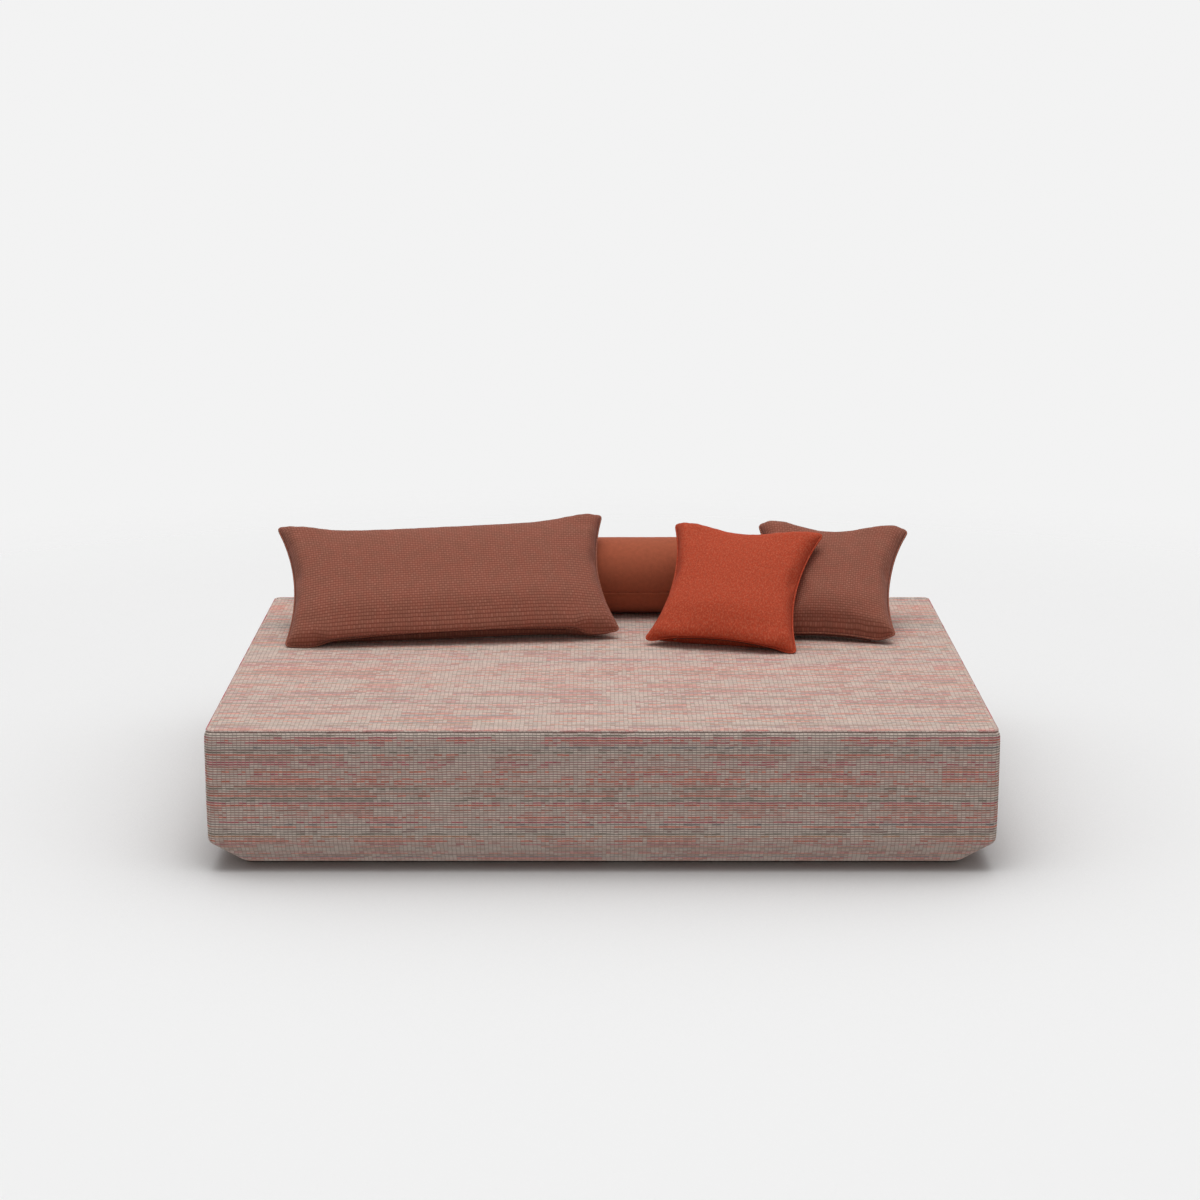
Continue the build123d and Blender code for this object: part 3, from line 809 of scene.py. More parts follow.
@dataclass
class PoufCover:
    """The pouf's cover: a top panel, four side panels that fold in under it, and the welt and wadding."""

    length: float = 2146 * MM
    depth: float = 1646 * MM
    corner: float = 25 * MM
    top_level: float = 400 * MM
    seam_level: float = 398 * MM
    break_level: float = 84 * MM
    foot_level: float = 4 * MM
    foot_inset: float = 85 * MM
    return_inset: float = 143.7 * MM
    bulge: float = 2.8 * MM
    tuck: float = 7.5 * MM
    shoulder: float = 6 * MM
    step: float = 7 * MM
    edge_roll: float = 12 * MM
    cloth_thickness: float = 1.2 * MM
    welt_radius: float = 2.5 * MM
    welt_tuck: float = 4.5 * MM
    wadding_gap: float = 2.2 * MM
    wadding_lid_gap: float = 2.4 * MM
    wadding_thickness: float = 4.8 * MM
    top_pitch_share: float = 0.941

    def profile(self) -> np.ndarray:
        """Line down the side, from the seam to the turned-under edge.

        The corner line is sampled evenly and then each point becomes the mean of its neighbours, twice, which
        rounds the corners.

        Returns:
            Inset and level for each point.
        """
        corners = np.array([
            (0.0, self.seam_level),
            (0.0, self.break_level),
            (self.foot_inset, self.foot_level),
            (self.return_inset, self.foot_level),
        ])
        run = run_along(corners)
        even = np.linspace(0.0, run[-1], round(run[-1] / self.step) + 1)
        line = np.stack([np.interp(even, run, corners[:, 0]), np.interp(even, run, corners[:, 1])], -1)
        for _ in range(2):
            line[1:-1] = (line[:-2] + line[1:-1] * 2 + line[2:]) / 4
        close = np.stack([0 * NEAR_SEAM, self.seam_level - NEAR_SEAM], -1)
        return np.concatenate([close, line[2:]])

    def side_panel(self, side: Side, start: float, finish: Material) -> Piece:
        """One side panel, from the middle of one corner to the middle of the next.

        A column of points stands at each share of the way along. It is the corner's centre line for that
        inset, plus the corner radius along the column's own way out, plus the bulge. That is one less a
        falling exponential of the way down from the seam, times one less the fourth power of the share of
        the way to the break, and less the exponential times the tuck. The cloth's map keeps the distance
        along the side, so that its ribs run straight up the bevel.

        Args:
            side: which side.
            start: the cloth's place at the panel's middle.
            finish: its material.

        Returns:
            The panel.
        """
        (out_x, out_y), (way_x, way_y) = side.value
        half, away = self.length / 2, self.depth / 2
        if side in (Side.RIGHT, Side.LEFT):
            half, away = away, half
        line = self.profile()
        inset, level = line[:, 0][:, None], line[:, 1][:, None]
        turn = np.linspace(math.pi / 4, 0.0, 6)
        shares = np.linspace(-1.0, 1.0, round(2 * half / self.step / 1.2))
        share = np.concatenate([np.full(5, -1.0), shares, np.full(5, 1.0)])[None, :]
        angle = np.concatenate([-turn[:-1], np.zeros(len(shares)), turn[:-1][::-1]])[None, :]
        centre = share * (half - inset - self.corner)
        place = centre + self.corner * angle + start
        down = run_along(line)[:, None]
        drop = np.clip((self.seam_level - level) / (self.seam_level - self.break_level), 0.0, 1.0)
        sewn = np.exp(-down / self.shoulder)
        swell = self.bulge * (1 - sewn) * (1 - drop ** 4) - self.tuck * sewn
        pucker = np.exp(-down / (16 * MM)) * ripple(place + 0 * down, (0.031, 0.047, 0.083), 5)
        slow = ripple(place, (0.31, 0.52, 0.9), 7) * np.sin(math.pi * drop) * (inset < 2 * MM)
        swell = swell + 0.5 * MM * pucker * np.minimum(down / (4 * MM), 1.0) + 0.9 * MM * slow
        along = centre + (self.corner + swell) * np.sin(angle)
        out = away - inset - self.corner + (self.corner + swell) * np.cos(angle)
        points = np.stack(np.broadcast_arrays(
            out_x * out + way_x * along, out_y * out + way_y * along, level), -1)
        rows, columns = points.shape[:2]
        faces = grid_quads(rows, columns)[:, ::-1]
        flat = np.stack(np.broadcast_arrays(place, -down), -1).reshape(-1, 2)
        name = f"cover_{side.name.lower()}"
        piece = make_piece(name, points, faces, finish, flat[faces])
        add_modifier(piece, "SOLIDIFY", thickness=self.cloth_thickness, offset=-1.0)
        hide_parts(f"{name}_panel")
        return piece

    def spread(self, half: float) -> np.ndarray:
        """Places from one edge to the other, close together near the edges."""
        rim = np.array([0.0, 2.0, 4.5, 8.0, 13.0]) * MM
        inner = np.linspace(-half + 20 * MM, half - 20 * MM, round(half / (5.5 * MM)))
        return np.concatenate([-half + rim, inner, half - rim[::-1]])

    def top_panel(self, finish: Material) -> Piece:
        """The top panel, which ends at the tucked-in seam.

        Each row is as long as the rounded outline is there. The level falls to the seam's towards the
        edge, as the square of the share of the roll left, and slow waves take off less than a millimetre.

        Args:
            finish: its material.

        Returns:
            The panel.
        """
        half, away = (side / 2 - self.tuck + 2 * MM for side in (self.length, self.depth))
        across, up = self.spread(half)[None, :], self.spread(away)[:, None]
        past = np.clip(np.abs(up) - (away - self.corner), 0.0, None)
        reach = half - self.corner + np.sqrt(np.clip(self.corner ** 2 - past ** 2, 0.0, None))
        x = across / half * reach
        edge = np.minimum(reach - np.abs(x), away - np.abs(up))
        roll = (1 - np.clip(edge / self.edge_roll, 0.0, 1.0)) ** 2
        waves = ripple(x + 0.4 * up, (0.41, 0.67), 21) * ripple(up - 0.3 * x, (0.37, 0.73), 22)
        drop = (self.top_level - self.seam_level) * roll + 0.5 * MM * (1 - roll) * (0.5 + 0.5 * waves)
        points = np.stack(np.broadcast_arrays(x, up, self.top_level - drop), -1)
        rows, columns = points.shape[:2]
        faces = grid_quads(rows, columns)
        flat = points[..., :2].reshape(-1, 2) * self.top_pitch_share
        piece = make_piece("cover_top", points, faces, finish, flat[faces])
        add_modifier(piece, "SOLIDIFY", thickness=self.cloth_thickness, offset=-1.0)
        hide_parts("cover_top_panel")
        return piece

    def welt(self, finish: Material) -> Piece:
        """The welt round the top seam: a tube along the rounded outline, drawn in with the seam.

        Args:
            finish: its material.

        Returns:
            The welt.
        """
        radius = self.corner - self.welt_tuck
        half, away = self.length / 2 - self.corner, self.depth / 2 - self.corner
        turn = np.linspace(0.0, math.pi / 2, 9)
        corners = [(half, away, 0.0), (-half, away, 0.25), (-half, -away, 0.5), (half, -away, 0.75)]
        path = []
        for (x, y, share), (next_x, next_y, _) in zip(corners, corners[1:] + corners[:1]):
            angle = turn + share * math.tau
            arc = np.stack([x + radius * np.cos(angle), y + radius * np.sin(angle)], -1)
            end = np.array([next_x, next_y]) + radius * np.array([math.cos(angle[-1]), math.sin(angle[-1])])
            count = round(np.linalg.norm(end - arc[-1]) / (9 * MM))
            run = np.linspace(0.0, 1.0, count, endpoint=False)[1:, None]
            path += [arc, arc[-1] + run * (end - arc[-1])]
        path = np.concatenate(path)
        run = np.cumsum(np.linalg.norm(np.roll(path, -1, 0) - path, axis=1))
        lift = 0.35 * MM * ripple(run, (0.05, 0.085, 0.19), 31)
        path = np.column_stack([path, self.seam_level + lift])
        points, faces, cloth = tube(path, self.welt_radius, np.array([0.0, 0.0, 1.0]), 8)
        piece = make_piece("cover_welt_cord", points, faces, finish, cloth, mend=True)
        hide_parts("cover_welt")
        return piece

    def outline(self, inset: np.ndarray, level: np.ndarray, turned_in: np.ndarray) -> np.ndarray:
        """Rounded rectangles, one row for each inset and level.

        Each has straight runs cut in even steps and quarter circles at its corners, of the corner radius
        less its last value, but at least two millimetres.

        Args:
            inset: distance in from the cover's outline, one for each row.
            level: height, one for each row.
            turned_in: how much smaller the corner radius is, one for each row.

        Returns:
            The points, row after row.
        """
        inset, level = inset[:, None], level[:, None]
        radius = np.maximum(self.corner - turned_in[:, None], 2 * MM)
        turn = np.linspace(0.0, math.pi / 2, 7)
        rows = []
        for number in range(4):
            way = np.array([math.cos(number * math.pi / 2), math.sin(number * math.pi / 2)])
            left = np.array([-way[1], way[0]])
            sizes = (self.length, self.depth) if number % 2 == 0 else (self.depth, self.length)
            ahead, beside = (size / 2 - inset - radius for size in sizes)
            arc_out, arc_side = ahead + radius * np.cos(turn), beside + radius * np.sin(turn)
            run = np.linspace(-1.0, 1.0, 60)[None, :-1]
            straight = np.broadcast_to(ahead + radius, (len(inset), run.size))
            out = np.concatenate([straight, arc_out[:, :-1]], 1)
            side = np.concatenate([beside * run, arc_side[:, :-1]], 1)
            rows.append(np.stack([out * way[0] + side * left[0], out * way[1] + side * left[1]], -1))
        flat = np.concatenate(rows, 1)
        return np.dstack([flat, np.broadcast_to(level, flat.shape[:2])])

    def wadding(self, finish: Material) -> Piece:
        """The wadding right under the cover, as one closed sheet wrapped over the pouf.

        Its outer side follows the cover's line a small gap further in, square to it, with the same tuck at
        the seam and with corners that are tighter by as much. Its inner side runs back the same way, further
        in by the sheet's own thickness.

        Args:
            finish: its material.

        Returns:
            The wadding.
        """
        line = self.profile()
        ahead = np.gradient(line, axis=0)
        ahead /= np.linalg.norm(ahead, axis=1, keepdims=True)
        inward = np.stack([-ahead[:, 1], ahead[:, 0]], -1)
        tucked = self.tuck * np.exp(-run_along(line) / self.shoulder)
        layers = []
        for deeper in (0.0, self.wadding_thickness):
            depth = self.wadding_gap + deeper
            side = line + depth * inward
            side[:, 0] += tucked
            level = np.full(len(LID_PLACES), self.top_level - self.wadding_lid_gap - deeper)
            lid = np.stack([LID_PLACES + depth + self.tuck, level], -1)
            turned_in = np.concatenate([lid[:, 0], side[:, 0] - line[:, 0]])
            layers.append(np.column_stack([np.concatenate([lid, side]), turned_in]))
        points = self.outline(*np.concatenate([layers[0], layers[1][::-1]]).T)
        faces = grid_quads(*points.shape[:2], True)
        place = points[..., :2].reshape(-1, 2) + points[..., 2:].reshape(-1, 1)
        piece = make_piece("wadding_layer", points, faces, finish, place[faces])
        with open_mesh(piece.data) as shell:
            bmesh.ops.holes_fill(shell, edges=[edge for edge in shell.edges if edge.is_boundary])
            bmesh.ops.recalc_face_normals(shell, faces=shell.faces)
        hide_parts("wadding")
        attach(piece, "pouf")
        return piece

    def build(self, finish: Material) -> list[Piece]:
        """Makes the whole cover, which rides on the pouf.

        Args:
            finish: its material.

        Returns:
            Its pieces.
        """
        quarter = (self.length + self.depth) / 2
        starts = {side: number * quarter for number, side in enumerate(Side)}
        panels = [self.side_panel(side, start, finish) for side, start in starts.items()]
        pieces = [self.top_panel(finish), *panels]
        pieces.append(self.welt(finish))
        for piece in pieces:
            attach(piece, "pouf")
        return pieces


# Bolster and cushions


# Millimetres round the sleeve, from its seam, of the points close to it
SEAM_PLACES = np.array([-12, -8, -6.5, -5, -4, -3, -2, -1.2, -0.6, 0, 0.6, 1.2, 2, 3, 5])


@dataclass
class Bolster:
    """The bolster: a sleeve with a lengthwise seam, two domed ends and a welt round each."""

    length: float = 1000 * MM
    radius: float = 121 * MM
    end_radius: float = 115 * MM
    shoulder: float = 60 * MM
    bulge: float = 14 * MM
    middle_x: float = 120 * MM
    axis_y: float = 608 * MM
    axis_z: float = 521.4 * MM
    welt_radius: float = 2.5 * MM
    seam_turn: float = math.radians(-15.5)
    floor: float = 400.5 * MM

    def outward(self, turn: np.ndarray, radius: np.ndarray, along: np.ndarray) -> np.ndarray:
        """Points at a turn round the axis, upwards from the front, at a radius and a place along it."""
        y = self.axis_y - radius * np.cos(turn)
        z = np.maximum(self.axis_z + radius * np.sin(turn), self.floor)
        return np.stack(np.broadcast_arrays(self.middle_x + along, y, z), -1)

    def sleeve(self, finish: Material) -> Piece:
        """The sleeve.

        Its radius is full along the straight part and falls by an arc of a circle towards each end. Puckers,
        cosines round the sleeve, fade away from the ends. The seam is a narrow groove along it with a low
        lip under it.

        Args:
            finish: its material.

        Returns:
            The sleeve.
        """
        straight = self.length / 2 - self.shoulder
        end = np.linspace(0.0, self.shoulder, 16)
        middle = np.linspace(-straight, straight, 80)
        along = np.concatenate([-straight - end[::-1], middle[1:-1], straight + end])[:, None]
        near = self.seam_turn + SEAM_PLACES * MM / self.radius
        rest = np.linspace(near[-1], near[0] + math.tau, 150)[1:-1]
        turn = np.concatenate([near, rest])[None, :]
        past = np.clip(np.abs(along) - straight, 0.0, None)
        drop = self.radius - self.end_radius
        curve = (self.shoulder ** 2 + drop ** 2) / (2 * drop)
        radius = self.radius - (curve - np.sqrt(curve ** 2 - past ** 2))
        left = np.exp(-(self.length / 2 - np.abs(along)) / (22 * MM))
        pucker = 0.9 * MM * left * ripple(turn * self.radius, (0.022, 0.035, 0.051), 41)
        slow = 0.6 * MM * ripple(along + 0.1 * np.cos(turn), (0.17, 0.29, 0.5), 42)
        off = (turn - self.seam_turn) * self.radius / MM
        groove = 1.6 * MM * bell(off, -4.0, 2.0) - 2.6 * MM * bell(off, 0.0, 1.5)
        ends = np.minimum((self.length / 2 - np.abs(along)) / (10 * MM), 1.0)
        points = self.outward(turn, radius - 0.8 * MM + (pucker + slow + groove) * ends, along)
        rows, columns = points.shape[:2]
        faces = grid_quads(rows, columns, True)
        flat = np.stack(np.broadcast_arrays(along, turn * self.radius), -1).reshape(-1, 2)
        cloth = flat[faces]
        wrap = (faces % columns == 0) & ((faces % columns).max(1, keepdims=True) == columns - 1)
        cloth[..., 1] += wrap * math.tau * self.radius
        piece = make_piece("bolster_sleeve_cloth", points, faces, finish, cloth)
        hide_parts("bolster_sleeve", "bolster_core")
        return piece

    def end_panel(self, way: int, name: str, finish: Material) -> Piece:
        """A domed end: circles that shrink while the dome rises as one less the square of their share.

        Args:
            way: 1 for the right end and -1 for the left one.
            name: the CAD node that it stands for.
            finish: its material.

        Returns:
            The end.
        """
        share = np.linspace(1.0, 0.02, 14)[:, None]
        turn = np.linspace(0.0, math.tau, 97)[None, :-1]
        wave = 0.8 * MM * ripple(turn * self.radius, (0.03, 0.05), 43) * share ** 3 * (1 - share) * 6
        along = way * (self.length / 2 + self.bulge * (1 - share ** 2) - 0.5 * MM + wave)
        points = self.outward(turn, share * (self.end_radius - 0.3 * MM), along)
        rows, columns = points.shape[:2]
        faces = grid_quads(rows, columns, True)
        faces = faces if way < 0 else faces[:, ::-1]
        hub = np.arange(columns)[::-1] if way < 0 else np.arange(columns)
        flat = points[..., 1:].reshape(-1, 2)
        piece = make_piece(f"{name}_cloth", points, faces, finish, flat[faces])
        self.close_hub(piece, (rows - 1) * columns, hub)
        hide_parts(name)
        return piece

    def close_hub(self, piece: Piece, first: int, ring: np.ndarray) -> None:
        """Closes the small hole left at the middle of an end with one face.

        Args:
            piece: the end.
            first: number of the last circle's first point.
            ring: the circle's points in turning order.
        """
        with open_mesh(piece.data) as shell:
            shell.verts.ensure_lookup_table()
            cap = shell.faces.new([shell.verts[first + int(number)] for number in ring])
            cap.smooth = True
            layer = shell.loops.layers.uv["cloth"]
            for corner in cap.loops:
                corner[layer].uv = corner.vert.co.yz

    def welts(self, finish: Material) -> Piece:
        """Both welts: a tube round each end's seam.

        Args:
            finish: their material.

        Returns:
            The welts as one piece.
        """
        turn = np.linspace(0.0, math.tau, 181)[:-1]
        radius = np.full(turn.shape, self.end_radius + self.welt_radius)
        wave = 0.3 * MM * ripple(turn * self.radius, (0.04, 0.07), 44)
        paths = (self.outward(turn, radius, way * self.length / 2 + wave) for way in (-1, 1))
        made = [tube(path, self.welt_radius, np.array([1.0, 0.0, 0.0])) for path in paths]
        points = np.concatenate([part[0] for part in made])
        faces = np.concatenate([made[0][1], made[1][1] + made[0][0].size // 3])
        cloth = np.concatenate([part[2] for part in made])
        piece = make_piece("bolster_welt_cords", points, faces, finish, cloth, mend=True)
        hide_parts("bolster_welts")
        return piece

    def build(self, finish: Material) -> list[Piece]:
        """Makes the bolster's cloth pieces, which ride on its body.

        Args:
            finish: their material.

        Returns:
            The pieces.
        """
        left = self.end_panel(-1, "bolster_left_end", finish)
        right = self.end_panel(1, "bolster_right_end", finish)
        pieces = [self.sleeve(finish), left, right]
        pieces.append(self.welts(finish))
        for piece in pieces:
            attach(piece, "bolster")
        return pieces


@dataclass
class Cushion:
    """A sewn cushion: two flat panels joined round the edge, blown up, and shaped as its filling lies."""

    name: str
    middle: tuple[float, float, float]
    out: tuple[float, float, float]
    right: tuple[float, float, float]
    slot: str
    seed: int
    length: float = 450 * MM
    height: float = 450 * MM
    half_crown: float = 76 * MM
    draw: float = 25 * MM
    panel_draw: float = 30 * MM
    cell: float = 8 * MM
    pressure: float = 0.5
    frames: int = 24
    welt_radius: float = 3.2 * MM
    slack: float = 5 * MM
    drop: float = 27 * MM
    rise: float = 9 * MM
    plump: float = 8 * MM
    pucker: float = 6 * MM
    pucker_lengths: tuple[float, ...] = (0.042, 0.07, 0.12)
    dimple: float = 18 * MM
    belly: float = 15 * MM
    sag: float = 4 * MM
    hang: float = 0.8
    plump_bell: tuple[float, float] = (28 * MM, 26 * MM)
    belly_bell: tuple[float, float] = (95 * MM, 75 * MM)
    dimple_bells: tuple[tuple[float, float], ...] = ((0.08, 0.14), (18 * MM, 13 * MM))
    hang_bell: tuple[float, float] = (16 * MM, 32 * MM)
    side_draw: float = 30 * MM
    zip_length: float = 300 * MM
    ears: tuple[tuple[float, float, float], ...] = ((0.0, 0.0, 0.0),) * 4
    parting: tuple | None = None

    def shares(self) -> tuple[np.ndarray, np.ndarray]:
        """Shares of the way across and up the panels, from -1 to 1, on their grid of points."""
        columns = round(self.length / self.cell / 2) * 2 + 1
        rows = round(self.height / self.cell / 2) * 2 + 1
        return np.meshgrid(np.linspace(-1.0, 1.0, columns), np.linspace(-1.0, 1.0, rows))

    def start_form(self, across: np.ndarray, up: np.ndarray) -> np.ndarray:
        """The plain pillow that the cloth starts from.

        Each side bows in by the draw, as one less the square of the way along it, or a higher power where
        the side is longer than the other. The thickness is the half crown times, for both pairs of sides,
        the root of one less the 2.2nd power of the share left to the middle, where the middle is half the
        height away from the side.

        Args:
            across: shares across.
            up: shares up.

        Returns:
            The front half's points, seam plane level at 0.
        """
        half_x = self.length / 2 - self.draw * (1 - up ** 2)
        half_y = self.height / 2 - self.draw * (1 - np.abs(across) ** (2 * self.length / self.height))
        x, y = across * half_x, up * half_y
        thick = self.half_crown
        for gone in (half_x - np.abs(x), half_y - np.abs(y)):
            left = np.clip(1 - gone / (self.height / 2), 0.0, 1.0)
            thick = thick * np.sqrt(np.clip(1 - left ** 2.2, 0.0, None))
        return np.stack([x, y, thick], -1)

    def flat_size(self) -> tuple[float, float]:
        """Length and height of the flat panels: each side's, longer for its bow and its ripples."""
        bow = 8 / 3 * self.panel_draw ** 2 / self.height
        return tuple(side + bow + self.slack for side in (self.length, self.height))

    def case(self) -> tuple[np.ndarray, np.ndarray, np.ndarray, np.ndarray]:
        """Both panels as one closed grid.

        The back panel shares the front's edge points and has its own inner ones.

        Returns:
            Start points, flat points, faces and the cloth's place at each face corner.
        """
        across, up = self.shares()
        rows, columns = across.shape
        front = self.start_form(across, up)
        wide, high = self.flat_size()
        flat = np.stack([across * wide / 2, up * high / 2, 0 * up], -1)
        inner = np.zeros((rows, columns), bool)
        inner[1:-1, 1:-1] = True
        number = np.arange(rows * columns).reshape(rows, columns)
        back_number = number.copy()
        back_number[inner] = rows * columns + np.arange(inner.sum())
        back = front[inner] * np.array([1.0, 1.0, -1.0])
        quads = grid_quads(rows, columns)
        faces = np.concatenate([number.ravel()[quads], back_number.ravel()[quads][:, ::-1]])
        place = flat[..., :2].reshape(-1, 2)
        back_place = place[quads][:, ::-1] * np.array([-1.0, 1.0]) + np.array([3.0, 0.0])
        cloth = np.concatenate([place[quads], back_place])
        dice = np.random.default_rng(self.seed)
        start = np.concatenate([front.reshape(-1, 3), back])
        start = start + dice.normal(0.0, 0.25 * MM, start.shape)
        spread = np.concatenate([flat.reshape(-1, 3), flat[inner]])
        return start, spread, faces, cloth

    def blow_up(self, start: np.ndarray, spread: np.ndarray, faces: np.ndarray) -> np.ndarray:
        """Runs the cloth: its threads keep the flat panels' lengths while pressure fills the case.

        Args:
            start: points to start from.
            spread: points of the flat panels.
            faces: corner numbers.

        Returns:
            The filled case's points.
        """
        mesh = bpy.data.meshes.new(f"{self.name}_trial")
        mesh.from_pydata(start.tolist(), [], faces.tolist())
        trial = bpy.data.objects.new(f"{self.name}_trial", mesh)
        bpy.context.scene.collection.objects.link(trial)
        trial.shape_key_add(name="basis")
        rest = trial.shape_key_add(name="flat")
        rest.data.foreach_set("co", spread.astype(np.float32).ravel())
        cloth = trial.modifiers.new("cloth", "CLOTH")
        settings = cloth.settings
        settings.quality = 7
        settings.mass = 0.3
        settings.tension_stiffness = settings.compression_stiffness = 22.0
        settings.shear_stiffness = 6.0
        settings.bending_stiffness = 0.15
        settings.air_damping = 3.0
        settings.use_pressure = True
        settings.uniform_pressure_force = self.pressure
        settings.effector_weights.gravity = 0.0
        settings.rest_shape_key = rest
        cloth.point_cache.frame_start = 1
        cloth.point_cache.frame_end = self.frames
        for number in range(1, self.frames + 1):
            bpy.context.scene.frame_set(number)
        shaped = trial.evaluated_get(bpy.context.evaluated_depsgraph_get())
        points = np.empty(len(start) * 3, np.float32)
        shaped.data.vertices.foreach_get("co", points)
        bpy.data.objects.remove(trial)
        bpy.context.scene.frame_set(1)
        return points.reshape(-1, 3).astype(float)

    def smooth(self, points: np.ndarray, faces: np.ndarray, weight: float) -> np.ndarray:
        """Evens a mesh out: each point moves part of the way to the mean of its neighbours.

        Args:
            points: the points.
            faces: corner numbers.
            weight: share of the way.

        Returns:
            The moved points.
        """
        here, there = faces.ravel(), np.roll(faces, -1, 1).ravel()
        count = np.bincount(here, minlength=len(points))[:, None]
        total = np.stack([np.bincount(here, points[there, axis], len(points)) for axis in range(3)], -1)
        return points + weight * (total / count - points)

    def seam(self) -> np.ndarray:
        """Numbers of the edge points, once round the case from its lower left tip."""
        across, _ = self.shares()
        rows, columns = across.shape
        number = np.arange(rows * columns).reshape(rows, columns)
        return np.concatenate([number[0, :-1], number[:-1, -1], number[-1, :0:-1], number[:0:-1, 0]])

    def settled(self, points: np.ndarray) -> np.ndarray:
        """Turns the drifted case back into its seam plane: middle at the seam's mean and tips level.

        Args:
            points: the case's points.

        Returns:
            The moved points.
        """
        points = points - points[self.seam()].mean(0)
        across, _ = self.shares()
        rows, columns = across.shape
        tips = points[[0, columns - 1, rows * columns - 1, (rows - 1) * columns]]
        way_x = tips[1] + tips[2] - tips[0] - tips[3]
        way_y = tips[2] + tips[3] - tips[0] - tips[1]
        way_z = np.cross(way_x, way_y)
        way_y = np.cross(way_z, way_x)
        turned = np.stack([way / np.linalg.norm(way) for way in (way_x, way_y, way_z)], -1)
        return points @ turned

    def with_ears(self, points: np.ndarray) -> np.ndarray:
        """Moves the tips, and less and less of the case away from them.

        The share at a tip is the product of the nearness across and up, to the fifth power.

        Args:
            points: the case's points.

        Returns:
            The moved points.
        """
        moved = points.copy()
        for (way_x, way_y), ear in zip(((-1, -1), (1, -1), (1, 1), (-1, 1)), self.ears):
            near_x = np.clip((1 + way_x * points[:, 0] / (self.length / 2)) / 2, 0.0, 1.0)
            near_y = np.clip((1 + way_y * points[:, 1] / (self.height / 2)) / 2, 0.0, 1.0)
            near = near_x ** (self.length / self.height) * near_y
            moved += (near ** 5)[:, None] * np.array(ear)
        return moved

    def spots(self) -> tuple[np.ndarray, np.ndarray, np.ndarray]:
        """Each point's shares across and up, and 1 for the front, -1 for the back and 0 for the seam."""
        across, up = self.shares()
        inner = np.zeros(across.shape, bool)
        inner[1:-1, 1:-1] = True
        face = np.concatenate([inner.ravel().astype(float), -np.ones(inner.sum())])
        return np.append(across, across[inner]), np.append(up, up[inner]), face

    def filled_out(self, points: np.ndarray) -> np.ndarray:
        """Fills the case out as its filling lies.

        Along a side, far is one less the distance from the tip over half the height, and at least 0. The
        bottom side drops by one less the fourth power of far. The top side rises by one less the cube of
        far, times 0.15 and 2.4 times far squared, which is fullest near the tips. Both grow with the square
        of the nearness to the side. All round the seam the panels stand plumper by a bell over the distance
        from it, and pucker by seeded waves that die away from it. Low down the front panel hangs forwards
        and down by a bell over the distance from the bottom seam. The middles of both short sides have a
        dimple, a bell both ways.

        Args:
            points: the case's points.

        Returns:
            The moved points.
        """
        across, up, face = self.spots()
        half_x, half_y = self.length / 2, self.height / 2
        far_x = np.clip(1 - (1 - np.abs(across)) * half_x / half_y, 0.0, 1.0)
        far_y = np.abs(up)
        full_x, full_y = ((1 - far ** 3) * (0.15 + 2.4 * far ** 2) for far in (far_x, far_y))
        moved = points.copy()
        moved[:, 1] += self.rise * full_x * ((1 + up) / 2) ** 2
        moved[:, 1] -= self.drop * (1 - far_x ** 4) * ((1 - up) / 2) ** 2
        lift = np.zeros(len(points))
        sides = ((1 - np.abs(up), half_y, across * half_x, np.sign(up), full_x),
                 (1 - np.abs(across), half_x, up * half_y, 3 * np.sign(across), full_y))
        for gone, half, run, label, full in sides:
            off = gone * half
            lift += self.plump * full * bell(off, *self.plump_bell)
            waves = np.where(face > 0, ripple(run + 0.2 * label, self.pucker_lengths, self.seed),
                             ripple(run + 0.3 * label, self.pucker_lengths, self.seed + 50))
            lift += self.pucker * full * waves * np.exp(-off / (30 * MM)) * np.minimum(off / (12 * MM), 1.0)
        foot_off = (1 + up) * half_y
        full = (face > 0) * (1 - far_x ** 4) * bell(foot_off, *self.belly_bell)
        lift += self.belly * full
        moved[:, 1] -= self.sag * full
        side_off = (1 - np.abs(across)) * half_x
        up_bell, side_bell = self.dimple_bells
        lift -= self.dimple * bell(up, *up_bell) * bell(side_off, *side_bell)
        moved[:, 2] += face * lift
        return moved

    def axes(self) -> np.ndarray:
        """The seam plane's directions: right, up and out."""
        right, out = np.array(self.right), np.array(self.out)
        return np.stack([right, np.cross(out, right), out])

    def placed(self, points: np.ndarray) -> np.ndarray:
        """Carries points from the seam plane to the cushion's place on the pouf."""
        return np.array(self.middle) + points @ self.axes()

    def arc_radius(self) -> float:
        """Radius of the arc through both bottom tips and the middle of the bowed bottom side."""
        return ((self.length / 2) ** 2 + self.side_draw ** 2) / (2 * self.side_draw)

    def arc(self, across: np.ndarray) -> np.ndarray:
        """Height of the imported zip's arc, on which the slider runs, at distances across."""
        radius = self.arc_radius()
        return self.side_draw - self.height / 2 - radius + np.sqrt(radius ** 2 - across ** 2)

